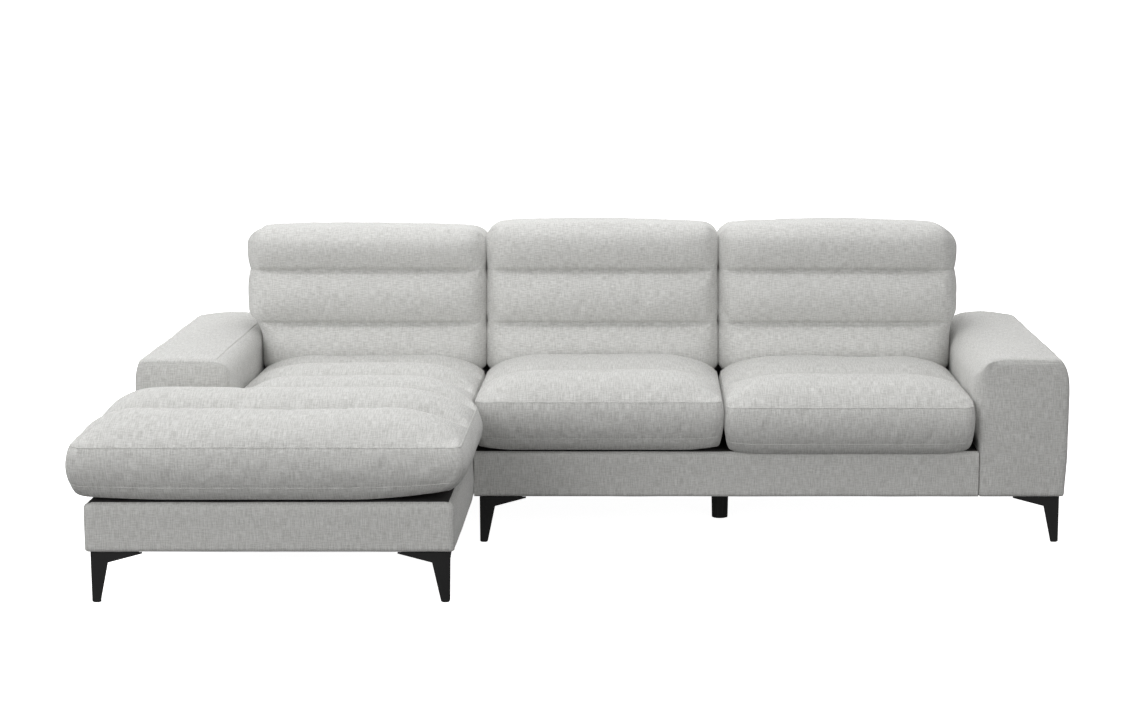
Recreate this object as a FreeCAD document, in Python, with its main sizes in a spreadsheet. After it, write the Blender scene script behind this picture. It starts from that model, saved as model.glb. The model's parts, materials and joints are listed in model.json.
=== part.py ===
import FreeCAD, Part
import math
import os
import re
import Sketcher

# A sectional sofa: a two-seat section on the right and a chaise section on the left.
# The frame is +Z up, -Y to the front, +X to the right of someone who faces the sofa.
# The origin is on the floor, under the middle of the box that holds the whole sofa.

Vector = FreeCAD.Vector

DRIVING = (
    ("sofa_width", 2790, "outer face of one arm to outer face of the other, at their fullest"),
    ("sofa_depth", 948, "front of the arms to the outer back"),
    ("chaise_width", 1009, "outer face of the left arm to the line where the two sections meet"),
    ("chaise_reach", 701, "how far the chaise base stands in front of the arms"),
    ("leg_height", 140, "floor to the underside of the base"),
    ("base_height", 140, "underside of the base to the seat deck"),
    ("deck_thickness", 16, "felt and foam pad on the webbing"),
    ("cover_thickness", 12, "foam and fabric on the outside of the base and the back"),
    ("cover_rounding", 9, "rounded edge of the covered panels"),
    ("rail_thickness", 40, "softwood rails of the seat frames"),
    ("lining_thickness", 1.5, "black lining under the base"),
    ("strap_thickness", 2, "elastic webbing"),
    ("strap_width", 60, "elastic webbing"),
    ("strap_pitch", 112, "from one strap to the next"),
    ("beam_drop", 30, "top of the centre beam under the webbing"),
    ("arm_width", 268, "width of an arm where it meets the seat frame"),
    ("arm_height", 567, "floor to the crown of the arm"),
    ("arm_outer_swell", 8, "how far the outer face of an arm swells past its base"),
    ("arm_inner_swell", 16, "how far the inner face of an arm swells over the seat"),
    ("arm_crown", 9, "rise of the arm's top between its long edges"),
    ("arm_shoulder", 34, "how far the outer top edge of an arm is drawn in"),
    ("arm_shoulder_drop", 125, "height over which the outer top edge is drawn in"),
    ("arm_edge_radius", 46, "soft inner top edge of an arm"),
    ("arm_end_rounding", 8, "rounding at the front and the rear of an arm"),
    ("arm_padding", 18, "foam and fabric on the arm frame"),
    ("arm_top_padding", 30, "foam on the top board of the arm frame"),
    ("board_thickness", 20, "boards of the arm frames"),
    ("back_height", 720, "floor to the top of the fixed back"),
    ("back_depth", 150, "thickness of the fixed back"),
    ("back_padding", 18, "foam and fabric behind the loose back cushions"),
    ("back_top_padding", 20, "foam and fabric over the top of the fixed back"),
    ("post_thickness", 30, "boards that stand in the fixed back"),
    ("back_rail_height", 40, "rail along the top of the posts"),
    ("leg_side_inset", 16, "outer face of a leg to the side of the base"),
    ("leg_front_inset", 8, "outer face of a leg to the front or the back of the base"),
    ("leg_wing_length", 139, "reach of a leg's wing along the base"),
    ("leg_wing_tip", 4, "height of the wing at its tip"),
    ("leg_knee_width", 46, "width of the leg where the wing meets the shank"),
    ("leg_knee_drop", 29, "underside of the base to the knee"),
    ("leg_foot_width", 21, "width of the shank at the floor"),
    ("leg_lean", 2, "how far the shank leans in at the floor"),
    ("leg_steel", 4, "thickness of the leg's two wings"),
    ("leg_plate", 3, "thickness of the leg's top plate"),
    ("leg_plate_reach", 128, "length of the top plate along each wing"),
    ("leg_plate_edge", 28, "width of the top plate at its two ends"),
    ("glide_height", 3, "plastic glide under each leg"),
    ("glide_width", 25, "side of the square glide"),
    ("screw_radius", 2.5, "shank of the leg screws"),
    ("screw_head_radius", 5.5, "head of the leg screws"),
    ("screw_head_height", 3, "head of the leg screws"),
    ("screw_bite", 17, "length of the screw inside the timber"),
    ("screw_inset", 14, "outer face of a leg to the row of screws under it"),
    ("screw_near", 68, "corner of a leg to its nearer screw"),
    ("screw_far", 108, "corner of a leg to its farther screw"),
    ("hole_clearance", 0.1, "radial clearance of a screw in its hole"),
    ("foot_setback", 355, "front of the sofa section to the centre foot"),
    ("foot_top_radius", 28, "centre foot under the base"),
    ("foot_bottom_radius", 25, "centre foot on the floor"),
    ("plate_length", 100, "joining plate across the two sections"),
    ("plate_width", 50, "joining plate along the two sections"),
    ("plate_thickness", 3, "joining plate"),
    ("plate_screw_spread", 26, "between the two screws on each side of a joining plate"),
    ("front_plate_place", 260, "front of the sofa section to the first joining plate"),
    ("rear_plate_place", 660, "front of the sofa section to the second joining plate"),
    ("soft_gap", 0.3, "clearance of a loose cushion from what is beside or under it"),
    ("cushion_front_overhang", 30, "chaise cushion in front of the chaise base"),
    ("cushion_side_overhang", 27, "chaise cushion past the left arm's outer face"),
    ("seat_front_overhang", 35, "seat cushions in front of the sofa base"),
    ("seat_crest", 486, "floor to the crown of the seat cushions"),
    ("seat_crown", 18, "rise of a seat cushion's top from its sides to its middle"),
    ("seat_nose_swell", 8, "how far a seat cushion's front stands out between its seams"),
    ("seat_seam", 434, "floor to the welt along the top of a seat cushion's front"),
    ("seat_lower_seam", 322, "floor to the welt along the bottom of a seat cushion's front"),
    ("seat_rear_top", 426, "floor to the seat cushion under a back cushion"),
    ("seat_corner", 44, "how far the top of a seat cushion is drawn down at its sides"),
    ("seat_side_rounding", 30, "how far a seat cushion's front is drawn in at its sides"),
    ("seat_lower_swell", 7, "how far the strip under a seat cushion's lower welt stands out"),
    ("seat_side_crest", 4, "how far the top stays above the front welt at a seat cushion's sides"),
    ("seat_side_lift", 8, "how far the underside of a seat cushion rises at its sides"),
    ("seat_side_sag", 9, "how far the top under a back cushion drops at a seat cushion's sides"),
    ("seat_seam_sag", 3, "how far the front welt drops at its two ends"),
    ("channel_depth", 9, "depth of a sewn channel"),
    ("channel_fade", 0.7, "share of a channel's depth that is lost at a cushion's sides"),
    ("seat_first_panel", 300, "front of a short seat cushion to its channel"),
    ("chaise_first_panel", 301, "front of the chaise cushion to its first channel"),
    ("chaise_panel", 280, "pitch of the channels across the chaise cushion"),
    ("back_cushion_depth", 238, "thickness of a back cushion at its foot"),
    ("back_cushion_top", 905, "floor to the top of the back cushions"),
    ("back_cushion_lean", 45, "how far the front of a back cushion leans back at its top"),
    ("back_cushion_corner", 48, "rounded edges of a back cushion"),
    ("back_cushion_crown", 10, "how far the front of a back cushion stands out at its middle"),
    ("back_panel_swell", 15, "how far a sewn panel stands out between its channels"),
    ("back_channel_depth", 12, "depth of the back cushion's channels"),
    ("lower_channel_share", 0.334, "share of a back cushion's height under its lower channel"),
    ("upper_channel_share", 0.687, "share of a back cushion's height under its upper channel"),
    ("back_side_draw", 38, "how far the front of a back cushion is drawn in at its sides"),
    ("back_side_lift", 19, "how far the foot of a back cushion rises at its sides"),
    ("back_side_sag", 23, "how far the top of a back cushion drops at its sides"),
    ("left_back_cushion_outset", 20, "left back cushion over the top of the left arm"),
    ("right_back_cushion_inset", 3, "right back cushion short of the right arm's inner line"),
    ("foam_inset", 62, "side of a cushion to its foam block"),
    ("back_foam_inset", 87, "side of a back cushion to its foam block"),
    ("foam_skin", 24, "fibre wrap and cover over and under the foam block"),
    ("foam_gap", 0.3, "clearance of the foam block in its cover"),
)

PLACES = (
    ("middle", "cushion_side_overhang / 2"),
    ("left_outer", "middle - sofa_width / 2"),
    ("right_outer", "middle + sofa_width / 2"),
    ("base_left", "left_outer + arm_outer_swell"),
    ("base_right", "right_outer - arm_outer_swell"),
    ("left_arm_inner", "left_outer + arm_width"),
    ("right_arm_inner", "right_outer - arm_width"),
    ("left_arm_face", "left_arm_inner + arm_inner_swell"),
    ("right_arm_face", "right_arm_inner - arm_inner_swell"),
    ("module_line", "left_outer + chaise_width"),
    ("seat_split", "(module_line + right_arm_face) / 2"),
    ("sofa_front", "(chaise_reach + cushion_front_overhang - sofa_depth) / 2"),
    ("sofa_back", "sofa_front + sofa_depth"),
    ("chaise_front", "sofa_front - chaise_reach"),
    ("back_face", "sofa_back - back_depth"),
    ("post_face", "back_face + back_padding"),
    ("base_bottom", "leg_height"),
    ("timber_bottom", "base_bottom + lining_thickness"),
    ("deck_top", "base_bottom + base_height"),
    ("strap_top", "deck_top - deck_thickness"),
    ("rail_top", "strap_top - strap_thickness"),
    ("back_pad_bottom", "back_height - back_top_padding"),
    ("back_rail_bottom", "back_pad_bottom - back_rail_height"),
    ("arm_board_top", "arm_height - arm_top_padding"),
    ("screw_seat", "base_bottom - leg_plate"),
    ("back_cushion_front", "back_face - back_cushion_depth"),
    ("back_cushion_height", "back_cushion_top - seat_rear_top"),
    ("lower_channel", "seat_rear_top + back_cushion_height * lower_channel_share"),
    ("upper_channel", "seat_rear_top + back_cushion_height * upper_channel_share"),
)

CHAISE_CHANNELS = 4
NEAR = 0.01

doc = FreeCAD.newDocument("SectionalSofa")
sheet = doc.addObject("Spreadsheet::Sheet", "Sizes")
nodes = []


def fill_sheet():
    """Write the driving sizes as plain numbers, and the places that follow from them."""
    row = 1
    for name, value, meaning in DRIVING:
        sheet.set(f"A{row}", meaning)
        sheet.set(f"B{row}", str(value))
        sheet.setAlias(f"B{row}", name)
        row += 1
    for name, formula in PLACES:
        sheet.set(f"A{row}", name.replace("_", " "))
        sheet.set(f"B{row}", "=" + formula)
        sheet.setAlias(f"B{row}", name)
        row += 1
    doc.recompute()


def size(name):
    """Return a size or a place from the sheet as a number of millimetres."""
    return float(getattr(sheet, name))


def on_sheet(text):
    """Turn names such as seat_split into references to the sheet."""
    return re.sub(r"[a-z_]+", lambda match: "Sizes." + match.group(0), text)


def keep(piece, name):
    """Name a finished piece as a node of the sofa."""
    piece.Label = name
    nodes.append(piece)
    return piece


def block(name, x_ends, y_ends, z_ends):
    """Make a block between two places along each axis."""
    piece = doc.addObject("Part::Box", name)
    for axis, side, ends in zip("xyz", ("Length", "Width", "Height"), (x_ends, y_ends, z_ends)):
        low, high = ends
        piece.setExpression(f"Placement.Base.{axis}", on_sheet(low))
        piece.setExpression(side, on_sheet(f"({high}) - ({low})"))
    return piece


def rod(name, x_place, y_place, bottom, top, radius):
    """Make an upright cylinder between two heights."""
    piece = doc.addObject("Part::Cylinder", name)
    piece.setExpression("Placement.Base.x", on_sheet(x_place))
    piece.setExpression("Placement.Base.y", on_sheet(y_place))
    piece.setExpression("Placement.Base.z", on_sheet(bottom))
    piece.setExpression("Height", on_sheet(f"({top}) - ({bottom})"))
    piece.setExpression("Radius", on_sheet(radius))
    return piece


def group(name, pieces):
    """Keep several separate solids under one name."""
    piece = doc.addObject("Part::Compound", name + "_group")
    piece.Links = pieces
    return piece


def cut(name, base, tool):
    """Take one shape out of another."""
    piece = doc.addObject("Part::Cut", name + "_cut")
    piece.Base = base
    piece.Tool = tool
    return piece


def origin_plane(body, role):
    """Find one of a body's own origin planes."""
    return [feature for feature in body.Origin.OriginFeatures if feature.Role == role][0]


def outline(body, name, role, corners):
    """Draw a closed outline whose corners are tied to the sheet."""
    sketch = body.newObject("Sketcher::SketchObject", name)
    sketch.AttachmentSupport = [(origin_plane(body, role), "")]
    sketch.MapMode = "FlatFace"
    places = [
        Vector(sheet.evalExpression(on_sheet(across)), sheet.evalExpression(on_sheet(along)), 0)
        for across, along in corners
    ]
    count = len(places)
    for index in range(count):
        sketch.addGeometry(Part.LineSegment(places[index], places[(index + 1) % count]))
    for index in range(count):
        sketch.addConstraint(Sketcher.Constraint("Coincident", index, 2, (index + 1) % count, 1))
    for index, (across, along) in enumerate(corners):
        for kind, text, value in (
            ("DistanceX", across, places[index].x),
            ("DistanceY", along, places[index].y),
        ):
            number = sketch.addConstraint(Sketcher.Constraint(kind, -1, 1, index, 1, value))
            sketch.setExpression(f"Constraints[{number}]", on_sheet(text))
    return sketch


def pad(body, name, sketch, thickness, backwards=False):
    """Thicken an outline into a solid."""
    feature = body.newObject("PartDesign::Pad", name)
    feature.Profile = sketch
    feature.setExpression("Length", on_sheet(thickness))
    feature.Reversed = backwards
    doc.recompute()
    return feature


def round_edges(body, name, base, chosen, radius):
    """Round the edges of a feature for which chosen(edge) is true."""
    edges = [f"Edge{n + 1}" for n, edge in enumerate(base.Shape.Edges) if chosen(edge)]
    feature = body.newObject("PartDesign::Fillet", name)
    feature.Base = (base, edges)
    feature.setExpression("Radius", on_sheet(radius))
    doc.recompute()
    return feature


def place(piece, x_place, y_place, z_place, turn=0):
    """Stand a piece at a place on the sheet, turned about the upright axis."""
    piece.Placement = FreeCAD.Placement(Vector(), FreeCAD.Rotation(Vector(0, 0, 1), turn))
    piece.setExpression("Placement.Base.x", on_sheet(x_place))
    piece.setExpression("Placement.Base.y", on_sheet(y_place))
    piece.setExpression("Placement.Base.z", on_sheet(z_place))


def is_level(edge, axis):
    """Tell whether a straight edge runs along one axis."""
    start, end = edge.Vertexes[0].Point, edge.Vertexes[-1].Point
    run = end - start
    return run.Length - abs(getattr(run, axis)) < NEAR


def covered_panel(name, x_ends, y_ends, rounded):
    """Make an upholstered base panel with its outer edges rounded.

    rounded(middle) tells from an edge's middle, in the panel's own frame, whether it is rounded.
    """
    low_x, high_x = x_ends
    low_y, high_y = y_ends
    body = doc.addObject("PartDesign::Body", name + "_body")
    length, width = f"({high_x}) - ({low_x})", f"({high_y}) - ({low_y})"
    corners = (("0", "0"), (length, "0"), (length, width), ("0", width))
    sketch = outline(body, name + "_outline", "XY_Plane", corners)
    solid = pad(body, name + "_pad", sketch, "base_height")
    round_edges(body, name + "_rounding", solid, lambda edge: rounded(edge.CenterOfMass), "cover_rounding")
    place(body, low_x, low_y, "base_bottom")
    return keep(body, name)


# Screws and their holes

def corner_screws(x_corner, y_corner, x_way, y_way):
    """Give the places of the four screws under one leg."""
    pairs = (
        ("screw_near", "screw_inset"),
        ("screw_far", "screw_inset"),
        ("screw_inset", "screw_near"),
        ("screw_inset", "screw_far"),
    )
    return [(f"{x_corner} {x_way} {across}", f"{y_corner} {y_way} {along}") for across, along in pairs]


def plate_screws(plate_place):
    """Give the places of the four screws through one joining plate."""
    chaise_row = "module_line - cover_thickness - rail_thickness / 2"
    sofa_row = "module_line + rail_thickness / 2"
    return [
        (row, f"sofa_front + {plate_place} {way} plate_screw_spread / 2")
        for row in (chaise_row, sofa_row)
        for way in "+-"
    ]


def screws(name, places, seat):
    """Make a set of like screws, each a head under its seat and a shank in the timber."""
    parts = []
    for number, (x_place, y_place) in enumerate(places):
        head = rod(f"{name}_head_{number}", x_place, y_place, f"{seat} - screw_head_height", seat,
                   "screw_head_radius")
        shank = rod(f"{name}_shank_{number}", x_place, y_place, seat, "base_bottom + screw_bite",
                    "screw_radius")
        parts += [head, shank]
    fused = doc.addObject("Part::MultiFuse", name + "_fuse")
    fused.Shapes = parts
    return keep(fused, name)


def screw_holes(places):
    """Make the shape of all the holes that the screws pass through."""
    holes = [
        rod(f"hole_{number}", x_place, y_place, "screw_seat - screw_head_height",
            "base_bottom + screw_bite + hole_clearance", "screw_radius + hole_clearance")
        for number, (x_place, y_place) in enumerate(places)
    ]
    return group("screw_hole", holes)


fill_sheet()

# Each leg has the place of its corner, and the ways in which its two wings run from there.
LEG_CORNERS = (
    ("chaise_front_left_leg", "base_left + leg_side_inset", "chaise_front + leg_front_inset", "++"),
    ("chaise_front_right_leg", "module_line - leg_side_inset", "chaise_front + leg_front_inset", "-+"),
    ("chaise_rear_right_leg", "module_line - leg_side_inset", "sofa_back - leg_front_inset", "--"),
    ("chaise_rear_left_leg", "base_left + leg_side_inset", "sofa_back - leg_front_inset", "+-"),
    ("sofa_front_left_leg", "module_line + leg_side_inset", "sofa_front + leg_front_inset", "++"),
    ("sofa_front_right_leg", "base_right - leg_side_inset", "sofa_front + leg_front_inset", "-+"),
    ("sofa_rear_right_leg", "base_right - leg_side_inset", "sofa_back - leg_front_inset", "--"),
    ("sofa_rear_left_leg", "module_line + leg_side_inset", "sofa_back - leg_front_inset", "+-"),
)
WAYS_BY_QUARTER_TURN = ("++", "-+", "--", "+-")

leg_screw_places = [
    spot
    for name, x_corner, y_corner, ways in LEG_CORNERS
    for spot in corner_screws(x_corner, y_corner, *ways)
]
plate_screw_places = plate_screws("front_plate_place") + plate_screws("rear_plate_place")
holes = screw_holes(leg_screw_places + plate_screw_places)


def timber(name, x_ends, y_ends, z_ends=("timber_bottom", "rail_top"), drilled=False):
    """Make a rail, beam or board, drilled for the screws that pass into it."""
    piece = block(name + "_stock", x_ends, y_ends, z_ends)
    if drilled:
        piece = cut(name, piece, holes)
    return keep(piece, name)


# Chaise frame

timber("chaise_front_rail",
       ("base_left + cover_thickness", "module_line - cover_thickness"),
       ("chaise_front + cover_thickness", "chaise_front + cover_thickness + rail_thickness"),
       drilled=True)
timber("chaise_left_rail",
       ("base_left + cover_thickness", "base_left + cover_thickness + rail_thickness"),
       ("chaise_front + cover_thickness + rail_thickness", "sofa_front - rail_thickness"),
       drilled=True)
timber("chaise_cross_rail",
       ("base_left + cover_thickness", "left_arm_inner + rail_thickness"),
       ("sofa_front - rail_thickness", "sofa_front"))
timber("chaise_inner_rail",
       ("left_arm_inner", "left_arm_inner + rail_thickness"),
       ("sofa_front", "sofa_back - cover_thickness - rail_thickness"))
timber("chaise_right_rail",
       ("module_line - cover_thickness - rail_thickness", "module_line - cover_thickness"),
       ("chaise_front + cover_thickness + rail_thickness", "sofa_back - cover_thickness - rail_thickness"),
       drilled=True)
timber("chaise_rear_rail",
       ("left_arm_inner", "module_line - cover_thickness"),
       ("sofa_back - cover_thickness - rail_thickness", "sofa_back - cover_thickness"),
       drilled=True)

# Sofa frame

timber("sofa_front_rail",
       ("module_line", "right_arm_inner"),
       ("sofa_front + cover_thickness", "sofa_front + cover_thickness + rail_thickness"),
       drilled=True)
timber("sofa_left_rail",
       ("module_line", "module_line + rail_thickness"),
       ("sofa_front + cover_thickness + rail_thickness", "sofa_back - cover_thickness - rail_thickness"),
       drilled=True)
timber("sofa_right_rail",
       ("right_arm_inner - rail_thickness", "right_arm_inner"),
       ("sofa_front + cover_thickness + rail_thickness", "sofa_back - cover_thickness - rail_thickness"))
timber("sofa_rear_rail",
       ("module_line", "right_arm_inner"),
       ("sofa_back - cover_thickness - rail_thickness", "sofa_back - cover_thickness"),
       drilled=True)
timber("sofa_strap_rail",
       ("module_line + rail_thickness", "right_arm_inner - rail_thickness"),
       ("post_face - rail_thickness", "post_face"))
timber("sofa_centre_beam",
       ("seat_split - rail_thickness / 2", "seat_split + rail_thickness / 2"),
       ("sofa_front + cover_thickness + rail_thickness", "post_face - rail_thickness"),
       ("timber_bottom", "rail_top - beam_drop"))


# Webbing, seat decks and linings

def strap_run(name, axis, across, low, high):
    """Lay straps at an even pitch between two places along one axis."""
    room = sheet.evalExpression(on_sheet(f"({high}) - ({low})"))
    count = int((room - size("strap_width")) // size("strap_pitch"))
    straps = []
    for number in range(count):
        share = f"({number} + 0.5) / {count}"
        centre = f"({low}) + (({high}) - ({low})) * {share}"
        ends = (f"{centre} - strap_width / 2", f"{centre} + strap_width / 2")
        spans = (across, ends) if axis == "y" else (ends, across)
        straps.append(block(f"{name}_{number}", *spans, ("rail_top", "strap_top")))
    return straps


chaise_span = ("base_left + cover_thickness", "module_line - cover_thickness")
chaise_rear_span = ("left_arm_inner", "module_line - cover_thickness")
sofa_span = ("module_line", "right_arm_inner")

keep(group("chaise_webbing",
           strap_run("chaise_front_strap", "y", chaise_span,
                     "chaise_front + cover_thickness + rail_thickness", "sofa_front - rail_thickness")
           + strap_run("chaise_rear_strap", "y", chaise_rear_span, "sofa_front", "post_face")),
     "chaise_webbing")
keep(group("sofa_webbing",
           strap_run("sofa_strap", "x", ("sofa_front + cover_thickness", "post_face"),
                     "module_line + rail_thickness", "right_arm_inner - rail_thickness")),
     "sofa_webbing")
keep(group("chaise_seat_deck", [
    block("chaise_deck_front", chaise_span, ("chaise_front + cover_thickness", "sofa_front"),
          ("strap_top", "deck_top")),
    block("chaise_deck_rear", chaise_rear_span, ("sofa_front", "post_face"), ("strap_top", "deck_top")),
]), "chaise_seat_deck")
keep(block("sofa_deck", sofa_span, ("sofa_front + cover_thickness", "post_face"),
           ("strap_top", "deck_top")), "sofa_seat_deck")
keep(cut("chaise_lining", group("chaise_lining_sheets", [
    block("chaise_lining_front", chaise_span, ("chaise_front + cover_thickness", "sofa_front"),
          ("base_bottom", "timber_bottom")),
    block("chaise_lining_rear", chaise_rear_span, ("sofa_front", "sofa_back - cover_thickness"),
          ("base_bottom", "timber_bottom")),
]), holes), "chaise_bottom_lining")
keep(cut("sofa_lining", block("sofa_lining_sheet", sofa_span,
                              ("sofa_front + cover_thickness", "sofa_back - cover_thickness"),
                              ("base_bottom", "timber_bottom")), holes), "sofa_bottom_lining")


# Upholstered base panels

def at_front(middle):
    """Choose the long edges on a panel's front face."""
    return middle.y < NEAR and (middle.z < NEAR or middle.z > size("base_height") - NEAR)


def at_left(middle):
    """Choose the long edges on a panel's left face."""
    return middle.x < NEAR and (middle.z < NEAR or middle.z > size("base_height") - NEAR)


def at_chaise_front(middle):
    """Choose the edges all round the front face of the chaise's front panel."""
    return middle.y < NEAR


def at_right(middle):
    """Choose the long edges on the right face of the chaise's right panel."""
    return middle.x > size("cover_thickness") - NEAR and (
        middle.z < NEAR or middle.z > size("base_height") - NEAR)


covered_panel("chaise_front_panel", ("base_left", "module_line"),
              ("chaise_front", "chaise_front + cover_thickness"), at_chaise_front)
covered_panel("chaise_left_panel", ("base_left", "base_left + cover_thickness"),
              ("chaise_front + cover_thickness", "sofa_front"), at_left)
covered_panel("chaise_right_panel", ("module_line - cover_thickness", "module_line"),
              ("chaise_front + cover_thickness", "sofa_back - cover_thickness"), at_right)
covered_panel("sofa_front_panel", ("module_line", "right_arm_inner"),
              ("sofa_front", "sofa_front + cover_thickness"), at_front)


# Fixed backs

def fixed_back(section, x_ends, post_places):
    """Build one section's fixed back: posts, top rail, padding and the outer cover."""
    depth = ("post_face", "sofa_back - cover_thickness")
    posts = [
        block(f"{section}_post_{number}", (low, f"{low} + post_thickness"), depth,
              ("rail_top", "back_rail_bottom"))
        for number, low in enumerate(post_places)
    ]
    keep(group(section + "_back_posts", posts), section + "_back_posts")
    keep(block(section + "_top_rail", x_ends, depth, ("back_rail_bottom", "back_pad_bottom")),
         section + "_back_top_rail")
    keep(block(section + "_inner_pad", x_ends, ("back_face", "post_face"), ("deck_top", "back_pad_bottom")),
         section + "_back_inner_pad")
    body = doc.addObject("PartDesign::Body", section + "_outer_back_body")
    corners = (
        ("back_face", "back_pad_bottom"),
        ("sofa_back - cover_thickness", "back_pad_bottom"),
        ("sofa_back - cover_thickness", "base_bottom"),
        ("sofa_back", "base_bottom"),
        ("sofa_back", "back_height"),
        ("back_face", "back_height"),
    )
    sketch = outline(body, section + "_outer_back_outline", "YZ_Plane", corners)
    low, high = x_ends
    solid = pad(body, section + "_outer_back_pad", sketch, f"({high}) - ({low})")
    top = size("back_height")
    round_edges(body, section + "_outer_back_rounding", solid,
                lambda edge: is_level(edge, "x") and edge.CenterOfMass.z > top - NEAR, "cover_rounding")
    body.setExpression("Placement.Base.x", on_sheet(low))
    keep(body, section + "_outer_back")


fixed_back("chaise", ("left_arm_inner", "module_line"),
           ("left_arm_inner", "(left_arm_inner + module_line - post_thickness) / 2",
            "module_line - cover_thickness - post_thickness"))
fixed_back("sofa", sofa_span,
           ("module_line", "seat_split - post_thickness / 2", "right_arm_inner - post_thickness"))


# Arms

def quarter_turn(steps):
    """Give the angles of a quarter turn in even steps."""
    return [math.radians(90 * step / steps) for step in range(steps + 1)]


def quarter_bend(radius):
    """Give how far the middle of a quarter arc stands off its chord."""
    return radius * (1 - math.sqrt(0.5))


def upright_arc_middle(aside, rise):
    """Give the middle of an arc that starts upright and ends aside and above its start."""
    radius = (aside * aside + rise * rise) / (2 * aside)
    half_turn = math.asin(rise / radius) / 2
    return radius * (1 - math.cos(half_turn)), radius * math.sin(half_turn)


def arm_section(side, along, inset, swell):
    """Draw the section of an arm at one place along it.

    side is 1 for the right arm and -1 for the left, inset draws the whole section in, and swell is
    how far the inner face stands over the seat there.
    """
    outer = size("right_outer") if side > 0 else size("left_outer")
    bottom, deck, top = size("base_bottom"), size("deck_top"), size("arm_height") - inset
    radius, crown = size("arm_edge_radius"), size("arm_crown")
    width = size("arm_width")

    def at(across, height):
        return Vector(outer - side * across, along, height)

    base = size("arm_outer_swell") + inset
    seam = top - crown
    face = width + swell - inset
    foot = width - inset
    fullest = top - size("arm_shoulder_drop")
    shoulder = size("arm_shoulder")
    shoulder_aside, shoulder_rise = upright_arc_middle(shoulder, seam - fullest)
    outer_bottom = at(base, bottom)
    outer_middle = at(inset + size("arm_outer_swell") / 4, (bottom + fullest) / 2)
    outer_fullest = at(inset, fullest)
    shoulder_middle = at(inset + shoulder_aside, fullest + shoulder_rise)
    outer_top = at(inset + shoulder, seam)
    edge_start = at(face - radius, top - crown / 3)
    edge_end = at(face, top - crown / 3 - radius)
    bend = quarter_bend(radius)
    edge_middle = at(face - bend, top - crown / 3 - bend)
    top_middle = at((inset + shoulder + face - radius) / 2, top)
    swell_middle = at(foot + swell * 3 / 4, (deck + top - radius) / 2)
    inner_deck = at(foot, deck)
    inner_bottom = at(foot, bottom)
    inner_face = Part.LineSegment(edge_end, inner_deck)
    if swell:
        inner_face = Part.Arc(edge_end, swell_middle, inner_deck)
    edges = [
        Part.LineSegment(inner_bottom, outer_bottom).toShape(),
        Part.Arc(outer_bottom, outer_middle, outer_fullest).toShape(),
        Part.Arc(outer_fullest, shoulder_middle, outer_top).toShape(),
        Part.Arc(outer_top, top_middle, edge_start).toShape(),
        Part.Arc(edge_start, edge_middle, edge_end).toShape(),
        inner_face.toShape(),
        Part.LineSegment(inner_deck, inner_bottom).toShape(),
    ]
    return Part.Wire(edges)


def arm_form(side):
    """Loft the padded form of an arm from its front to its rear."""
    front, rear, back = size("sofa_front"), size("sofa_back"), size("back_face")
    rounding, swell = size("arm_end_rounding"), size("arm_inner_swell")
    end = [(rounding * (1 - math.cos(turn)), rounding * (1 - math.sin(turn))) for turn in quarter_turn(2)]
    stations = [(front + along, inset, swell) for along, inset in end]
    stations += [(back - 2 * swell, 0, swell), (back, 0, 0)]
    stations += [(rear - along, inset, 0) for along, inset in reversed(end)]
    return Part.makeLoft([arm_section(side, *station) for station in stations], True, True)


def arm(name, side, inner, outer):
    """Build one arm: a frame of boards and the padded cover over it."""
    low, high = (inner, outer) if side > 0 else (outer, inner)
    front, rear = "sofa_front + arm_padding", "sofa_back - arm_padding"
    board = "board_thickness"
    bottom = cut(name + "_bottom_board", block(name + "_bottom", (low, high), (front, rear),
                                               ("base_bottom", f"base_bottom + {board}")), holes)
    heights = (f"base_bottom + {board}", f"arm_board_top - {board}")
    boards = [
        bottom,
        block(name + "_top", (low, high), (front, rear), (f"arm_board_top - {board}", "arm_board_top")),
        block(name + "_low_side", (low, f"{low} + {board}"), (front, rear), heights),
        block(name + "_high_side", (f"{high} - {board}", high), (front, rear), heights),
        block(name + "_front", (f"{low} + {board}", f"{high} - {board}"), (front, f"{front} + {board}"),
              heights),
        block(name + "_rear", (f"{low} + {board}", f"{high} - {board}"), (f"{rear} - {board}", rear),
              heights),
    ]
    keep(group(name + "_frame", boards), name + "_frame")
    form = doc.addObject("Part::Feature", name + "_form")
    form.Shape = arm_form(side)
    room = block(name + "_room", (low, high), (front, rear), ("base_bottom", "arm_board_top"))
    keep(cut(name + "_cover", form, room), name + "_cover")


arm("left_arm", -1, "left_arm_inner - arm_padding", "base_left + arm_padding")
arm("right_arm", 1, "right_arm_inner + arm_padding", "base_right - arm_padding")


# Legs, glides, centre foot and fasteners

def leg(name, x_corner, y_corner, ways):
    """Build one folded steel corner leg with its drilled top plate."""
    body = doc.addObject("PartDesign::Body", name + "_body")
    foot = "glide_height - leg_height"
    wing = (
        ("0", "0"),
        ("leg_wing_length", "0"),
        ("leg_wing_length", "0 - leg_wing_tip"),
        ("leg_knee_width", "0 - leg_knee_drop"),
        ("leg_lean + leg_foot_width", foot),
        ("leg_lean", foot),
    )
    plate = (
        ("0", "0"),
        ("leg_plate_reach", "0"),
        ("leg_plate_reach", "leg_plate_edge"),
        ("leg_plate_edge", "leg_plate_reach"),
        ("0", "leg_plate_reach"),
    )
    first = outline(body, name + "_first_outline", "XZ_Plane", wing)
    pad(body, name + "_first_wing", first, "leg_steel", True)
    second = outline(body, name + "_second_outline", "YZ_Plane", wing)
    pad(body, name + "_second_wing", second, "leg_steel")
    top = outline(body, name + "_plate_outline", "XY_Plane", plate)
    pad(body, name + "_top_plate", top, "leg_plate", True)
    place(body, x_corner, y_corner, "base_bottom", 90 * WAYS_BY_QUARTER_TURN.index(ways))
    keep(cut(name, body, holes), name)


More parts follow.
